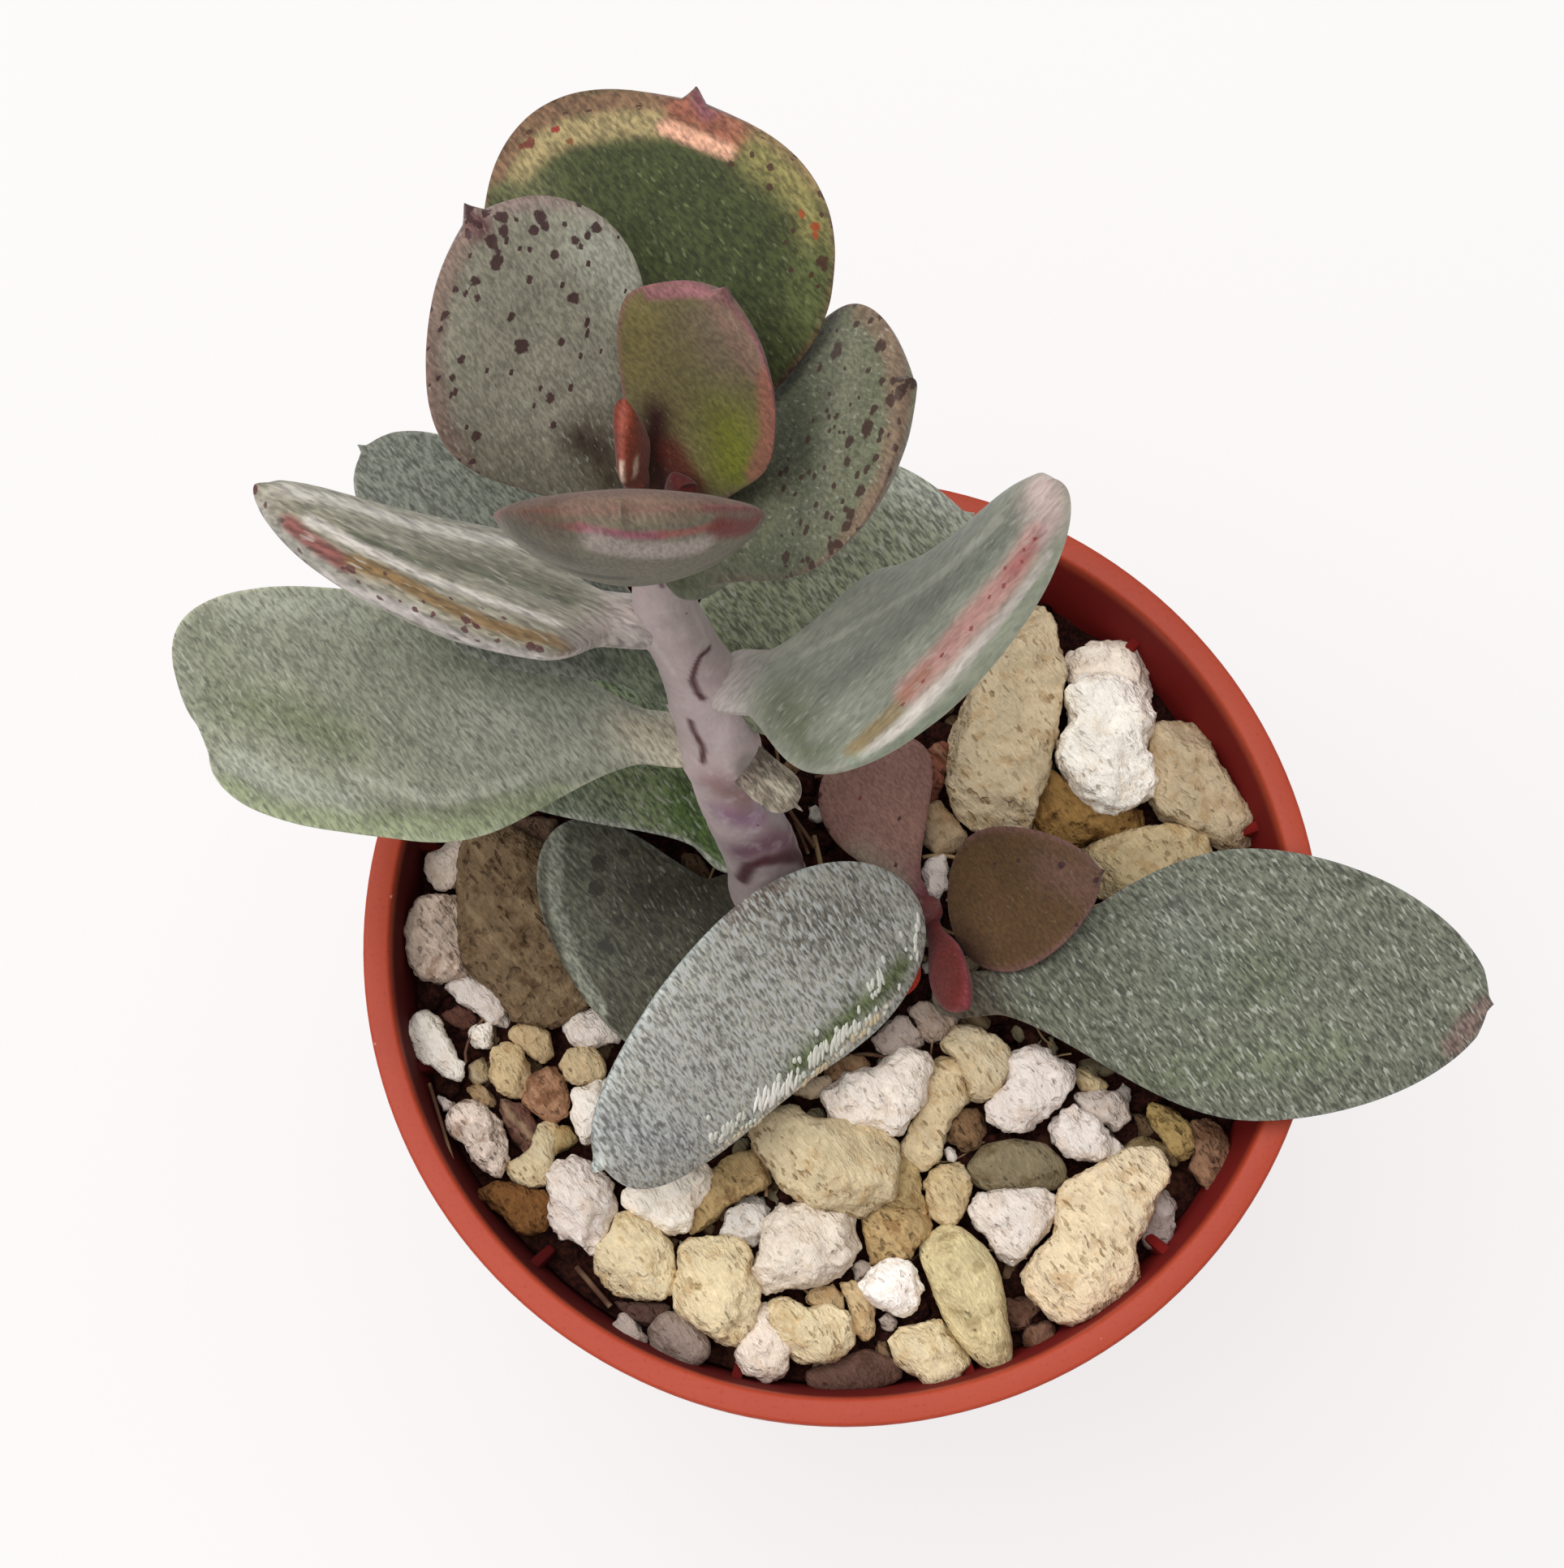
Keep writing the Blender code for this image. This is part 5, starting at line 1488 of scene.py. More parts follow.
stoneKinds = {
    # tint: colour; cuts: flat faces; square: how blocky, 1 is round; rough, lumps: relief in mm; light,
    # deep: the tone and how much it varies; patch, pale, pit: tints of darker and lighter areas and holes
    "tan": dict(
        name="tanPumice", tint="D3C29E", cuts=7, square=0.58, rough=0.30, roughSize=1.3, lumps=0.0,
        soften=1, light=1.21, deep=0.24, patch="DABE98", patches=0.5, pale="E8DCC2", pales=0.35,
        pit="A8906E", pitAt=0.59, dashes=0.75, dents=0.2, matt=0.9,
    ),
    "brown": dict(
        name="brownPumice", tint="8C7054", cuts=6, square=0.62, rough=0.32, roughSize=1.3, lumps=0.0,
        soften=1, light=1.26, deep=0.46, patch="9A7450", patches=0.6, pale="BCA480", pales=0.6,
        pit="6A5244", pitAt=0.58, dashes=0.65, dents=0.45, matt=0.9,
    ),
    "white": dict(
        name="whitePerlite", tint="EFE6DA", cuts=3, square=0.72, rough=0.44, roughSize=1.7, lumps=0.12,
        soften=2, light=1.18, deep=0.12, patch="DECAB2", patches=0.35, pale="FAF5EC", pales=0.35,
        pit="B09E8C", pitAt=0.62, dashes=0.5, dents=0.25, matt=0.85,
    ),
    "pebble": dict(
        name="smoothPebbles", tint="857A5E", cuts=3, square=0.72, rough=0.10, roughSize=1.8, lumps=0.0,
        soften=6, light=1.12, deep=0.34, patch="9E8A6A", patches=0.5, pale="C4B48E", pales=0.3,
        pit="7A6A54", pitAt=0.64, dashes=0.6, dents=0.1, matt=0.6,
    ),
}
stoneForm = dict(
    seed=3, voxel=0.2, flat=0.72, thickest=4.0, least=1.4, rise=0.14, edge=12, grow=1.06, edgeRise=0.4,
    span=1.35, slant=0.7, upright=(0.9, 0.4), leastUpright=0.55, cutDepth=(0.06, 0.24),
    tones=(0.94, 1.06),
)

# Each stone's kind, its colour where that differs, how far it is raised in mm, and its outline in pixels
stones = [
    ("white", "D2C2B4", 0.0, (523, 1075), (531, 1052), (550, 1036), (566, 1030), (582, 1036), (580, 1060),
     (566, 1096), (540, 1099)),
    ("brown", "746048", 0.6, (581, 1032), (622, 1026), (690, 1062), (735, 1130), (740, 1225), (707, 1250),
     (679, 1264), (640, 1258), (607, 1218), (581, 1196), (567, 1149), (568, 1085)),
    ("brown", "6E5646", 0.0, (618, 1016), (640, 1010), (684, 1012), (686, 1052), (663, 1062), (642, 1058),
     (624, 1040)),
    ("brown", "C0AC9C", 0.2, (525, 1110), (566, 1104), (572, 1149), (576, 1183), (579, 1198), (564, 1207),
     (542, 1213), (521, 1206), (508, 1186), (502, 1151), (510, 1128)),
    ("white", "CFC4BC", 0.0, (550, 1216), (577, 1205), (598, 1207), (616, 1227), (630, 1249), (632, 1266),
     (620, 1271), (603, 1262), (583, 1245), (562, 1238)),
    ("white", None, 0.1, (577, 1275), (592, 1265), (607, 1266), (614, 1277), (605, 1294), (590, 1295),
     (580, 1287)),
    ("white", None, 0.3, (503, 1272), (514, 1252), (533, 1250), (551, 1268), (560, 1290), (571, 1311),
     (576, 1330), (564, 1338), (547, 1328), (528, 1310), (508, 1294)),
    ("brown", "5A3A30", -0.4, (546, 1251), (566, 1243), (590, 1250), (591, 1266), (572, 1269), (553, 1260)),
    ("white", "E2D6CC", 0.3, (692, 1268), (709, 1251), (739, 1240), (760, 1252), (780, 1268), (765, 1285),
     (739, 1294), (709, 1290)),
    ("tan", "BFA881", 0.4, (605, 1296), (624, 1287), (642, 1294), (652, 1314), (656, 1334), (649, 1352),
     (634, 1356), (617, 1348), (607, 1330)),
    ("tan", "B39C78", 0.1, (629, 1278), (644, 1258), (665, 1264), (682, 1281), (683, 1298), (670, 1311),
     (654, 1303), (639, 1290)),
    ("brown", "9A7358", 0.2, (655, 1331), (680, 1318), (697, 1334), (702, 1356), (700, 1376), (680, 1383),
     (660, 1374), (645, 1356)),
    ("tan", "BFAA86", 0.3, (692, 1311), (705, 1296), (729, 1293), (745, 1309), (746, 1323), (732, 1334),
     (713, 1340), (698, 1333)),
    ("white", None, 0.1, (703, 1347), (722, 1337), (750, 1332), (756, 1360), (740, 1400), (722, 1411),
     (708, 1390), (701, 1368)),
    ("brown", "D0BEB0", 0.3, (552, 1387), (570, 1364), (590, 1360), (607, 1374), (620, 1387), (628, 1409),
     (628, 1427), (618, 1452), (600, 1444), (586, 1432), (575, 1412), (560, 1400)),
    ("tan", "BFAE8C", 0.0, (664, 1387), (686, 1383), (694, 1396), (682, 1416), (681, 1438), (675, 1458),
     (655, 1468), (636, 1456), (627, 1436), (646, 1425), (660, 1412)),
    ("tan", "A28C62", -0.1, (683, 1398), (698, 1386), (714, 1406), (704, 1416), (690, 1420), (682, 1428)),
    ("brown", "6C4826", -0.1, (590, 1472), (615, 1457), (642, 1461), (673, 1470), (677, 1496), (673, 1516),
     (651, 1524), (628, 1507), (606, 1490)),
    ("white", "DDD0C6", 0.6, (672, 1463), (682, 1438), (709, 1426), (729, 1438), (754, 1464), (759, 1496),
     (748, 1528), (729, 1549), (711, 1534), (689, 1525), (678, 1503)),
    ("white", "F0E6D8", 0.5, (768, 1480), (778, 1461), (803, 1453), (839, 1441), (866, 1434), (877, 1451),
     (874, 1473), (857, 1490), (849, 1516), (831, 1525), (810, 1513), (786, 1502)),
    ("tan", None, 0.3, (760, 1500), (780, 1496), (803, 1513), (828, 1535), (833, 1565), (829, 1594),
     (813, 1603), (789, 1600), (757, 1590), (734, 1566), (736, 1546), (750, 1526)),
    ("tan", None, 0.4, (840, 1539), (866, 1527), (888, 1531), (912, 1529), (926, 1548), (926, 1572),
     (933, 1594), (929, 1626), (909, 1657), (883, 1650), (862, 1638), (837, 1614), (831, 1590),
     (838, 1565)),
    ("white", "D4CCC4", 0.2, (881, 1522), (897, 1496), (914, 1483), (936, 1481), (951, 1495), (948, 1514),
     (929, 1537), (910, 1530), (888, 1529)),
    ("brown", "A28960", 0.0, (872, 1445), (900, 1428), (941, 1418), (957, 1444), (944, 1466), (919, 1477),
     (901, 1486), (885, 1502), (858, 1522), (849, 1516), (857, 1492)),
    ("pebble", "8D7C72", -0.1, (799, 1638), (820, 1617), (844, 1620), (875, 1653), (874, 1672),
     (856, 1685), (832, 1683), (805, 1666)),
    ("white", "B4A49A", -0.3, (754, 1629), (766, 1616), (783, 1630), (798, 1645), (796, 1658), (778, 1659),
     (760, 1643)),
    ("white", "DCCDBE", 0.2, (930, 1612), (942, 1599), (952, 1630), (973, 1664), (964, 1694), (944, 1705),
     (922, 1692), (906, 1667), (918, 1642)),
    ("tan", None, 0.3, (946, 1601), (972, 1602), (994, 1614), (1021, 1609), (1044, 1621), (1053, 1657),
     (1031, 1674), (992, 1680), (970, 1663), (951, 1633)),
    ("tan", "B49C78", 0.0, (993, 1604), (1005, 1587), (1026, 1581), (1041, 1599), (1038, 1616),
     (1018, 1612)),
    ("tan", "BCA47E", 0.0, (1031, 1582), (1055, 1579), (1066, 1597), (1080, 1611), (1078, 1638),
     (1067, 1654), (1051, 1638), (1049, 1616), (1038, 1597)),
    ("pebble", "5C4238", -0.6, (993, 1690), (1031, 1674), (1069, 1662), (1108, 1677), (1110, 1699),
     (1069, 1714), (1016, 1717), (997, 1707)),
    ("white", "DDD0C0", 0.7, (941, 1595), (923, 1568), (938, 1541), (948, 1507), (965, 1488), (987, 1484),
     (1016, 1501), (1055, 1504), (1061, 1529), (1048, 1565), (1016, 1582), (977, 1588)),
    ("brown", "A68C62", 0.1, (1062, 1499), (1090, 1486), (1143, 1497), (1144, 1517), (1129, 1538),
     (1121, 1551), (1094, 1554), (1075, 1556), (1066, 1532)),
    ("brown", "B29A6E", 0.2, (1098, 1431), (1112, 1427), (1131, 1443), (1136, 1466), (1144, 1495),
     (1128, 1502), (1103, 1496), (1088, 1479), (1093, 1454)),
    ("tan", "CBB996", 1.0, (925, 1399), (953, 1373), (983, 1371), (1000, 1387), (1045, 1385), (1081, 1391),
     (1101, 1412), (1101, 1440), (1096, 1476), (1058, 1500), (1027, 1496), (994, 1486), (965, 1466),
     (952, 1443), (937, 1425)),
    ("tan", "C2AC85", 0.4, (1136, 1461), (1148, 1443), (1168, 1429), (1184, 1433), (1196, 1461),
     (1189, 1488), (1177, 1513), (1160, 1507), (1145, 1498)),
    ("white", "E4D8CC", 0.9, (1013, 1349), (1045, 1326), (1076, 1320), (1094, 1307), (1116, 1297),
     (1138, 1300), (1144, 1314), (1138, 1358), (1116, 1393), (1099, 1406), (1083, 1393), (1054, 1386),
     (1025, 1384), (1015, 1366)),
    ("tan", "C2AF8D", 0.3, (1143, 1316), (1161, 1306), (1182, 1309), (1189, 1332), (1191, 1358),
     (1171, 1381), (1162, 1407), (1157, 1429), (1137, 1444), (1118, 1435), (1109, 1414), (1121, 1390),
     (1139, 1358)),
    ("tan", "C4B291", 0.9, (1160, 1285), (1177, 1270), (1200, 1270), (1226, 1282), (1242, 1298),
     (1238, 1327), (1228, 1350), (1210, 1359), (1195, 1355), (1186, 1332), (1177, 1307), (1160, 1296)),
    ("white", "B9A99E", 0.2, (1073, 1278), (1093, 1260), (1114, 1252), (1133, 1270), (1138, 1289),
     (1118, 1301), (1097, 1301), (1080, 1290)),
    ("white", "B5A294", 0.1, (1116, 1245), (1134, 1232), (1154, 1239), (1169, 1258), (1167, 1272),
     (1150, 1284), (1136, 1278), (1124, 1260)),
    ("white", "B5A294", 0.0, (1157, 1222), (1173, 1232), (1181, 1253), (1171, 1270), (1158, 1250)),
    ("brown", "8E6E52", 0.0, (1012, 1318), (1041, 1302), (1063, 1304), (1073, 1318), (1050, 1330),
     (1026, 1336)),
    ("tan", "C8B499", 0.2, (975, 1345), (1000, 1328), (1026, 1328), (1018, 1350), (1000, 1356)),
    ("white", "C4B8AE", 0.0, (1158, 1418), (1170, 1410), (1182, 1424), (1172, 1434)),
    ("brown", "74593F", -0.2, (1169, 1386), (1188, 1366), (1206, 1369), (1216, 1390), (1209, 1413),
     (1188, 1420), (1169, 1404)),
    ("pebble", "81745A", 0.2, (1190, 1440), (1210, 1413), (1245, 1406), (1287, 1411), (1309, 1435),
     (1312, 1454), (1297, 1467), (1264, 1470), (1228, 1469), (1201, 1462)),
    ("white", "DCD0C8", 0.7, (1240, 1301), (1268, 1290), (1290, 1301), (1318, 1317), (1321, 1337),
     (1305, 1364), (1287, 1380), (1264, 1394), (1235, 1393), (1218, 1377), (1216, 1361), (1236, 1338)),
    ("tan", "C8B48C", -0.2, (1316, 1316), (1339, 1318), (1368, 1336), (1354, 1349), (1334, 1342)),
    ("white", "C6B8AE", 0.1, (1322, 1350), (1353, 1342), (1383, 1350), (1394, 1374), (1392, 1391),
     (1374, 1396), (1350, 1384), (1330, 1366)),
    ("white", "DCD0C8", 0.4, (1289, 1393), (1297, 1378), (1320, 1361), (1335, 1367), (1354, 1381),
     (1373, 1400), (1383, 1416), (1373, 1431), (1353, 1434), (1330, 1434), (1307, 1421), (1295, 1409)),
    ("brown", "A28A58", 0.0, (1412, 1358), (1438, 1362), (1460, 1376), (1473, 1402), (1468, 1434),
     (1448, 1427), (1433, 1404), (1421, 1383)),
    ("brown", "7A6848", -0.2, (1380, 1416), (1405, 1401), (1433, 1408), (1459, 1428), (1450, 1438),
     (1424, 1424), (1391, 1423)),
    ("brown", "86664E", 0.0, (1468, 1382), (1495, 1380), (1515, 1402), (1512, 1433), (1495, 1472),
     (1480, 1456), (1466, 1438), (1474, 1412)),
    ("white", "9E908A", 0.0, (1433, 1465), (1453, 1489), (1451, 1511), (1436, 1538), (1419, 1540),
     (1404, 1525), (1410, 1501), (1423, 1478)),
    ("tan", "DCC8A7", 1.0, (1303, 1473), (1318, 1458), (1358, 1437), (1391, 1422), (1415, 1418),
     (1434, 1440), (1434, 1459), (1416, 1482), (1406, 1515), (1390, 1536), (1395, 1553), (1399, 1572),
     (1382, 1592), (1349, 1616), (1320, 1630), (1296, 1620), (1270, 1596), (1260, 1567), (1280, 1543),
     (1300, 1520), (1300, 1497)),
    ("white", "E0D4CA", 0.6, (1197, 1488), (1204, 1471), (1224, 1466), (1257, 1470), (1289, 1468),
     (1301, 1477), (1299, 1499), (1290, 1517), (1272, 1532), (1262, 1551), (1246, 1559), (1228, 1548),
     (1216, 1522), (1200, 1507)),
    ("white", "F4ECE4", 0.6, (1056, 1581), (1073, 1562), (1094, 1552), (1114, 1554), (1127, 1568),
     (1139, 1590), (1133, 1611), (1107, 1624), (1088, 1614), (1062, 1595)),
    ("pebble", "C9B98E", 0.7, (1128, 1538), (1142, 1521), (1161, 1511), (1184, 1518), (1210, 1538),
     (1227, 1564), (1232, 1594), (1238, 1629), (1243, 1659), (1240, 1684), (1226, 1691), (1200, 1676),
     (1178, 1651), (1160, 1620), (1150, 1590), (1137, 1562)),
    ("tan", None, 0.4, (1093, 1653), (1112, 1638), (1142, 1628), (1167, 1630), (1180, 1655), (1196, 1675),
     (1190, 1685), (1180, 1694), (1168, 1710), (1148, 1713), (1131, 1695), (1107, 1680)),
    ("brown", "65483A", -0.4, (1234, 1600), (1261, 1597), (1285, 1612), (1267, 1634), (1246, 1636)),
    ("brown", "6E5040", -0.4, (1265, 1634), (1289, 1624), (1304, 1631), (1298, 1652), (1281, 1669),
     (1265, 1656)),
    ("white", "A89A90", -0.3, (1080, 1626), (1096, 1617), (1108, 1631), (1096, 1642)),
    ("white", "A89A90", -0.3, (1046, 1560), (1062, 1552), (1075, 1562), (1058, 1582)),
    ("tan", "CDBA99", 0.9, (1250, 770), (1271, 750), (1286, 757), (1297, 787), (1309, 836), (1303, 867),
     (1297, 910), (1285, 959), (1268, 1024), (1229, 1026), (1197, 1018), (1176, 995), (1169, 965),
     (1172, 919), (1174, 896), (1200, 852), (1222, 815)),
    ("white", "EADFD0", 0.3, (1311, 809), (1338, 792), (1366, 793), (1394, 786), (1416, 809), (1422, 836),
     (1421, 868), (1388, 862), (1345, 858), (1320, 842)),
    # this white stone's colour is raised above its own as painted light, offsetting the shadow of the leaf
    # above it
    ("white", "FFF8EC", 1.2, (1313, 861), (1327, 842), (1360, 832), (1400, 848), (1416, 867), (1419, 904),
     (1410, 922), (1422, 940), (1416, 977), (1395, 996), (1366, 1003), (1332, 990), (1313, 965),
     (1298, 934), (1308, 910), (1320, 891)),
    ("tan", "BEAB8C", 0.5, (1417, 904), (1446, 887), (1473, 893), (1487, 910), (1499, 943), (1523, 980),
     (1542, 1008), (1548, 1032), (1529, 1045), (1504, 1039), (1467, 1021), (1433, 1003), (1417, 977),
     (1421, 940)),
    ("brown", "8A6A3C", -0.2, (1290, 945), (1314, 965), (1363, 990), (1409, 995), (1417, 1014),
     (1375, 1030), (1345, 1030), (1314, 1045), (1284, 1028), (1270, 1010)),
    ("tan", "BEAA84", 0.0, (1328, 1047), (1369, 1031), (1437, 1016), (1487, 1031), (1494, 1060),
     (1460, 1100), (1400, 1116), (1352, 1100)),
    ("tan", "A89174", 0.1, (1139, 995), (1158, 985), (1177, 1010), (1193, 1029), (1181, 1045),
     (1155, 1052), (1140, 1040), (1136, 1016)),
    ("brown", "7E4E3E", 0.2, (1092, 950), (1131, 927), (1165, 918), (1166, 953), (1150, 984), (1120, 990),
     (1100, 972)),
    ("white", "D8CCC4", 0.2, (1138, 1060), (1168, 1055), (1170, 1090), (1158, 1116), (1140, 1104)),
    ("white", "C2B4AC", -0.3, (535, 1350), (548, 1348), (562, 1360), (565, 1376), (546, 1372)),
    ("tan", "947A5A", -0.2, (574, 1341), (597, 1339), (614, 1356), (612, 1371), (588, 1360)),
    ("brown", "64453A", -0.3, (615, 1354), (646, 1366), (662, 1385), (656, 1432), (634, 1407), (615, 1376)),
    ("tan", "948264", -0.3, (575, 1316), (594, 1302), (604, 1314), (604, 1332), (586, 1336)),
    ("brown", "523C34", -0.4, (753, 1602), (778, 1606), (815, 1603), (824, 1614), (802, 1634), (783, 1629)),
]
# tones darken the small grit as painted shade between the stones
filler = dict(
    kinds=("tan", "brown", "brown", "pebble", "white", "brown"), count=260, size=(1.0, 2.8), reach=23.8,
    sides=6, radii=(0.75, 1.15), long=1.5, wide=1.15, thick=1.8, voxel=0.32, across=3.0, room=1.2,
    high=0.5, low=1.3, tilt=0.5, tones=(0.45, 0.85),
)


def cloudTexture(size, kind="CLOUDS"):
    texture = bpy.data.textures.new(kind.lower(), kind)
    texture.noise_scale = size
    if kind == "CLOUDS":
        texture.noise_depth = 3
    return texture


def shapeStone(kind, outline, thick, rng, voxel):
    # one stone from its outline seen from above, in millimetres about its own middle
    form = stoneKinds[kind]
    steps = np.arange(stoneForm["edge"])[:, None] / stoneForm["edge"]
    edge = np.concatenate([a + (b - a) * steps for a, b in zip(outline, np.roll(outline, -1, axis=0))])
    turns = np.arctan2(edge[:, 1], edge[:, 0])
    clearSelection()
    bpy.ops.mesh.primitive_ico_sphere_add(subdivisions=4, radius=1)
    stone = bpy.context.object
    points = readPoints(stone.data)
    flat = np.hypot(points[:, 0], points[:, 1])
    turn = np.arctan2(points[:, 1], points[:, 0])
    reach = np.interp(turn, turns, np.hypot(edge[:, 0], edge[:, 1]), period=2 * np.pi)
    spread = reach * flat ** form["square"]
    height = np.sign(points[:, 2]) * np.abs(points[:, 2]) ** form["square"] * thick / 2
    writePoints(stone.data, np.c_[np.cos(turn) * spread, np.sin(turn) * spread, height])
    for _ in range(form["cuts"]):
        # flat faces, most of them on the upper side
        aside, ahead = rng.gauss(0, stoneForm["slant"]), rng.gauss(0, stoneForm["slant"])
        upright = max(stoneForm["leastUpright"], rng.gauss(*stoneForm["upright"]))
        slant = Vector((aside, ahead, upright)).normalized()
        top = (readPoints(stone.data) @ np.array(slant)).max()
        depth = 1 - rng.uniform(*stoneForm["cutDepth"])
        bpy.ops.object.mode_set(mode="EDIT")
        bpy.ops.mesh.select_all(action="SELECT")
        bpy.ops.mesh.bisect(plane_co=slant * top * depth, plane_no=slant, use_fill=True, clear_outer=True)
        bpy.ops.object.mode_set(mode="OBJECT")
    addModifier(stone, "REMESH", mode="VOXEL", voxel_size=voxel, use_smooth_shade=True)
    addModifier(stone, "SMOOTH", factor=0.5, iterations=form["soften"])
    applyAll(stone)
    return stone


def makeStones():
    form = stoneForm
    rng = random.Random(form["seed"])
    groups = {kind: [] for kind in stoneKinds}
    taken = []
    for kind, code, lift, *pixels in stones:
        outline = np.array([placeAt(at, fillSizes["height"] + form["edgeRise"])[:2] for at in pixels])
        middle = (outline.max(axis=0) + outline.min(axis=0)) / 2
        outline = middle + (outline - middle) * form["grow"]
        size = outline - outline.mean(axis=0)
        narrow = 2 * math.sqrt(max(np.linalg.eigvalsh(size.T @ size / len(size))[0], 0.1)) * form["span"]
        thick = max(form["least"], min(form["flat"] * narrow, form["thickest"]))
        stone = shapeStone(kind, outline - middle, thick, rng, form["voxel"])
        x, y = middle
        stone.data.transform(Matrix.Translation((x, y, mixHeight(x, y) + form["rise"] * thick + lift)))
        addTint(stone, code or stoneKinds[kind]["tint"], rng.uniform(*form["tones"]))
        groups[kind].append(stone)
        taken.append((x, y, narrow / 2))
    addFiller(groups, taken, rng)
    for kind, members in groups.items():
        look = stoneKinds[kind]
        group = joinPieces(look["name"], members)
        reliefs = [
            # size, kind of pattern, how strong in mm and which value stays where it is
            (look["roughSize"], "CLOUDS", look["rough"] * 2, 0.5),
            (look["roughSize"] / 3, "CLOUDS", look["rough"] * 0.9, 0.5),
            (1.0, "VORONOI", -look["lumps"] * 2, 0.3),
        ]
        for size, pattern, strength, level in reliefs:
            if strength:
                texture = cloudTexture(size, pattern)
                addModifier(group, "DISPLACE", texture=texture, strength=strength, mid_level=level)
        applyAll(group)
        group.data.transform(Matrix.Scale(mm, 4))
        finishPiece(group, stonePaint(look))


def addFiller(groups, taken, rng):
    # smaller grit between and under the stones, darkened by the tones as painted shade in the gaps
    look = filler
    turns = np.linspace(0, 2 * math.pi, look["sides"] + 1)[:-1]
    moulds = []
    for kind in look["kinds"]:
        radii = np.array([rng.uniform(*look["radii"]) for _ in turns])
        outline = np.c_[np.cos(turns) * radii * look["long"], np.sin(turns) * radii * look["wide"]]
        moulds.append((kind, shapeStone(kind, outline, look["thick"], rng, look["voxel"])))
    for _ in range(look["count"]):
        kind, mould = rng.choice(moulds)
        x, y = onDisc(rng, look["reach"])
        size = rng.uniform(*look["size"]) / look["across"]
        room = min(math.hypot(x - px, y - py) - reach for px, py, reach in taken)
        onTop = room > look["room"] * size
        place = Matrix.Translation((x, y, mixHeight(x, y) - (look["high"] if onTop else look["low"])))
        copy = copyOf(mould)
        copy.data.transform(place @ tossed(rng, look["tilt"]) @ Matrix.Scale(size, 4))
        addTint(copy, stoneKinds[kind]["tint"], rng.uniform(*look["tones"]))
        groups[kind].append(copy)
        if onTop:
            taken.append((x, y, size * look["long"]))
    removeAll([mould for _, mould in moulds])


stoneSkin = dict(
    broadDeep=0.9, fineDeep=1.1, darkAt=(0.50, 0.66), paleAt=(0.56, 0.72), pitOver=0.1, pitLeast=0.2,
    pitArea=(0.40, 0.60), dentAt=(0.60, 0.74), fineRelief=0.8, pitRelief=0.9, dentRelief=3, depth=0.14,
    strength=0.9,
)


def stonePaint(look):
    skin = stoneSkin
    paint = Paint(look["name"] + "Skin", {"Roughness": look["matt"], "Specular IOR Level": 0.2})
    place = paint.place()
    tint = paint.attribute("tint", "Color")
    broad = paint.grain(place, 2.2, detail=3.0).rise(0.25, 0.75)
    fine = paint.grain(paint.streaked(streakHeading, 2.2), 0.24, detail=3.0, rough=0.65).rise(0.25, 0.75)
    deep = look["deep"]
    tone = look["light"] - deep + broad * (deep * skin["broadDeep"]) + fine * (deep * skin["fineDeep"])
    shade = paint.brighter(tint, tone)
    patch = paint.grain(place, 1.3, detail=4.0, rough=0.6).rise(*skin["darkAt"])
    shade = paint.mix(shade, paint.mix(shade, look["patch"], 1.0, "MULTIPLY"), patch * look["patches"])
    pale = paint.grain(place + 0.05, 1.1, detail=3.0).rise(*skin["paleAt"])
    shade = paint.mix(shade, look["pale"], pale * look["pales"])
    dash = paint.grain(paint.streaked(streakHeading, 2.4), 0.28, detail=1.5)
    dash = dash.rise(look["pitAt"], look["pitAt"] + skin["pitOver"])
    area = paint.grain(place + 0.11, 1.5).rise(*skin["pitArea"])
    dash = dash * (skin["pitLeast"] + area * (1 - skin["pitLeast"]))
    dent = paint.grain(place, 0.75).rise(*skin["dentAt"])
    pit = paint.mix(shade, look["pit"], 1.0, "MULTIPLY")
    shade = paint.mix(shade, pit, dash * look["dashes"])
    shade = paint.mix(shade, pit, dent * look["dents"])
    relief = fine * skin["fineRelief"] - dash * skin["pitRelief"]
    relief = relief - dent * (look["dents"] * skin["dentRelief"])
    return paint.finish(shade, height=relief, depth=skin["depth"], strength=skin["strength"])


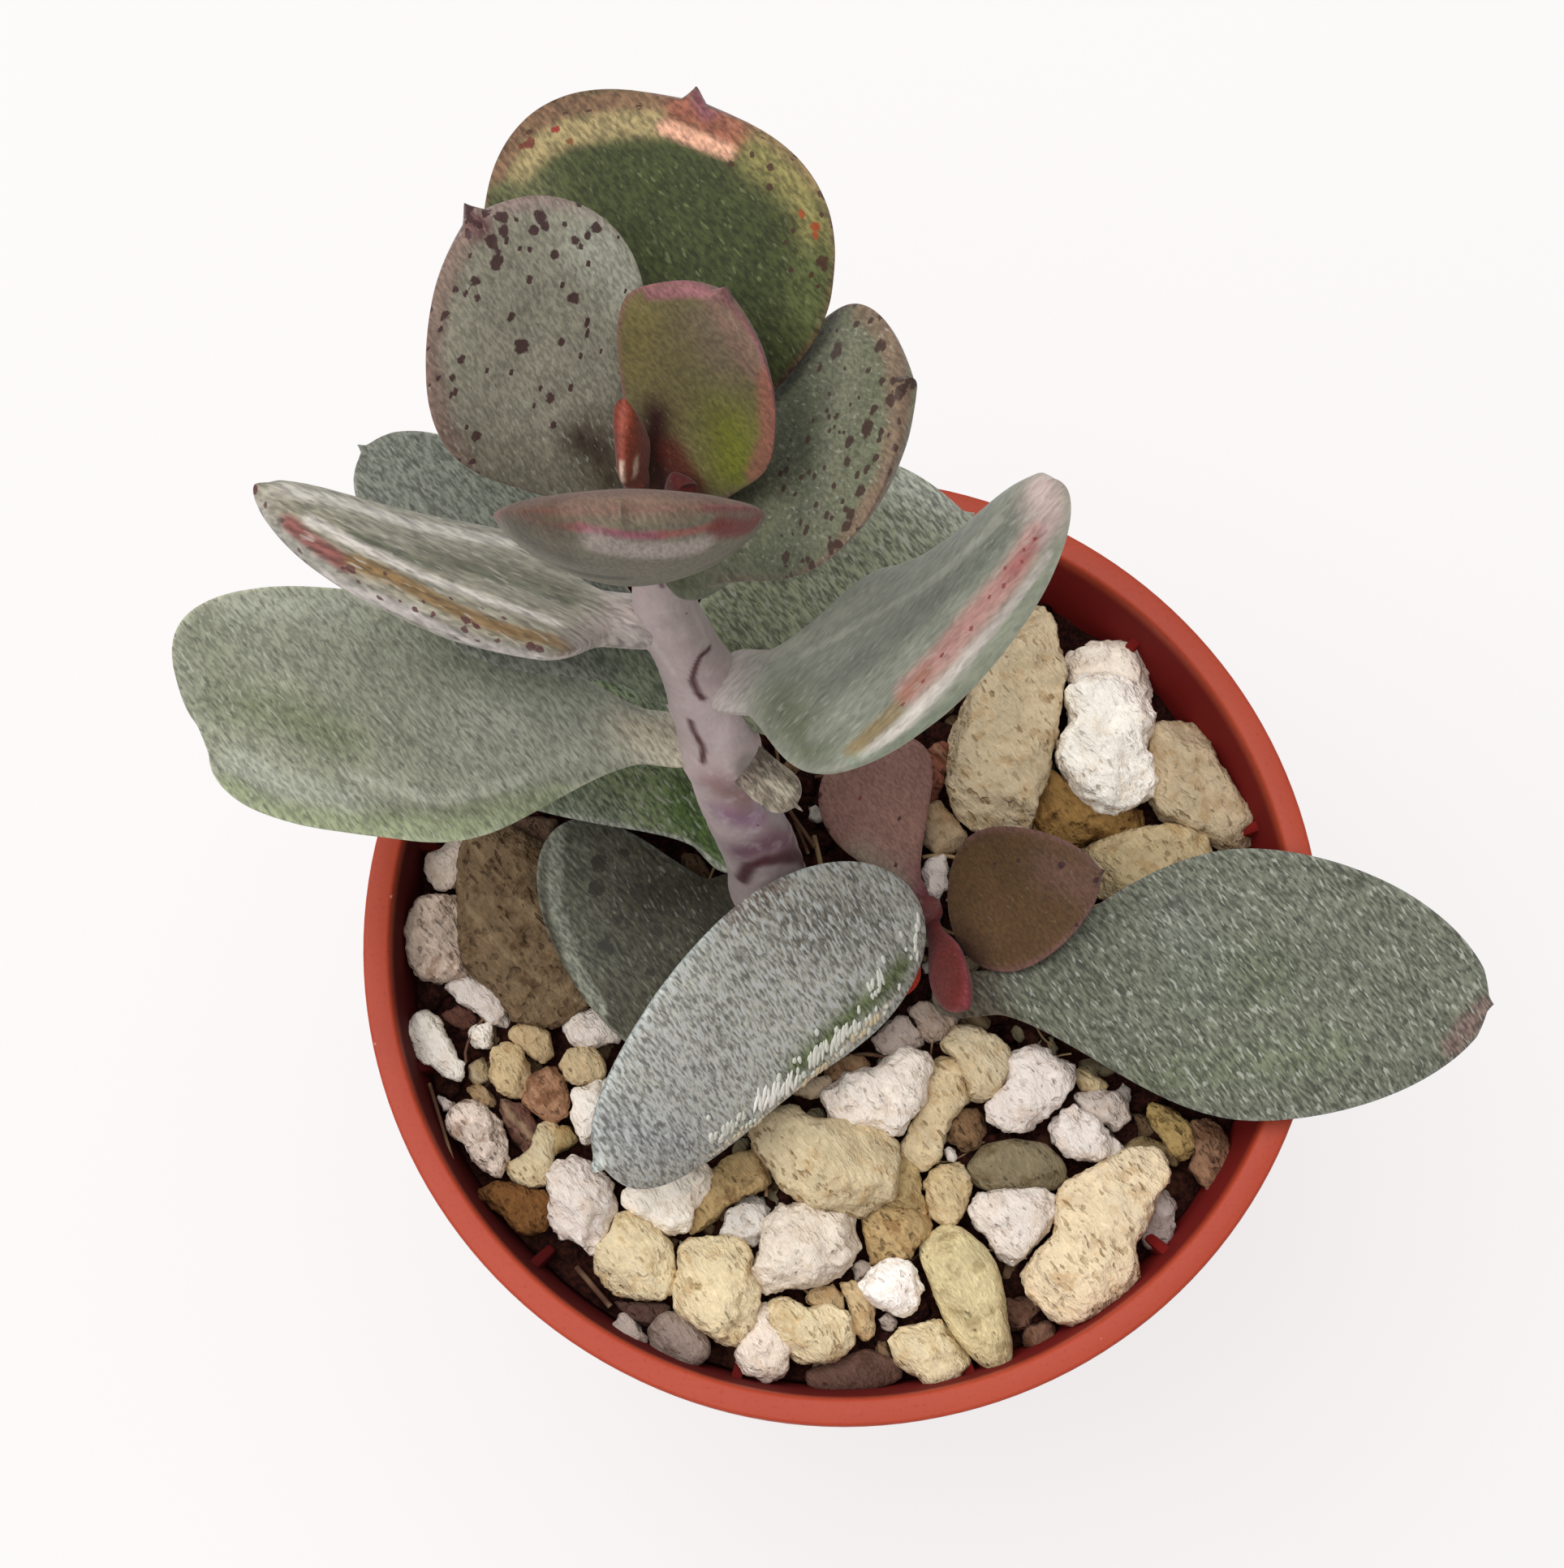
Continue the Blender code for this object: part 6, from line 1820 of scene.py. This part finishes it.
# Light, floor and camera

stage = dict(
    world=0.32, worldTint=(1.0, 0.985, 0.985), lamp=14.0, lampSize=1.2, lampPlace=(-0.30, 0.15, 1.0),
    floor="7E7C7C", floorGlow=0.73, floorTint=(1.0, 0.98, 0.98), floorSize=6,
)


def makeStage():
    clearSelection()
    bpy.ops.mesh.primitive_plane_add(size=stage["floorSize"], location=(0, 0, 0))
    floor = bpy.context.object
    floor.name = "floor"
    glow = {"Emission Color": (*stage["floorTint"], 1), "Emission Strength": stage["floorGlow"]}
    paint = Paint("whiteFloor", {"Roughness": 0.9, "Specular IOR Level": 0.1, **glow})
    floor.data.materials.append(paint.finish(stage["floor"]))
    scene = bpy.context.scene
    scene.world = bpy.data.worlds.new("softRoom")
    scene.world.use_nodes = True
    sky = scene.world.node_tree.nodes["Background"]
    sky.inputs["Color"].default_value = (*stage["worldTint"], 1)
    sky.inputs["Strength"].default_value = stage["world"]
    place = Vector(stage["lampPlace"])
    bpy.ops.object.light_add(type="AREA", location=place, rotation=place.to_track_quat("Z", "Y").to_euler())
    lamp = bpy.context.object
    lamp.name = "softLamp"
    lamp.data.size = stage["lampSize"]
    lamp.data.energy = stage["lamp"]
    scene.view_settings.view_transform = "Standard"
    scene.view_settings.look = "None"


def makeCamera():
    view = cameraView
    bpy.ops.object.camera_add(location=Vector(view["place"]) * mm)
    camera = bpy.context.object
    camera.rotation_euler = viewAxes().to_euler()
    camera.data.lens = view["lens"]
    camera.data.sensor_width = view["sensor"]
    camera.data.clip_start = 0.01
    bpy.context.scene.camera = camera


def makePlant():
    paints = makeLeafPaints()
    paints["stem"] = stemPaint()
    for name in stems:
        makeStem(name, paints)
    print("stems made")
    made = {name: makeLeaf(name, leaf, paints) for name, leaf in leaves.items()}
    makeFlakes(made["leaf_front_silver"])
    print("leaves made")


makeStage()
makeCamera()
print("stage made")
makePlant()
makePot()
print("pot made")
makePeat()
makeCrumbs()
makeFibres()
print("peat made")
makeStones()
print("grit made")

clearSelection()
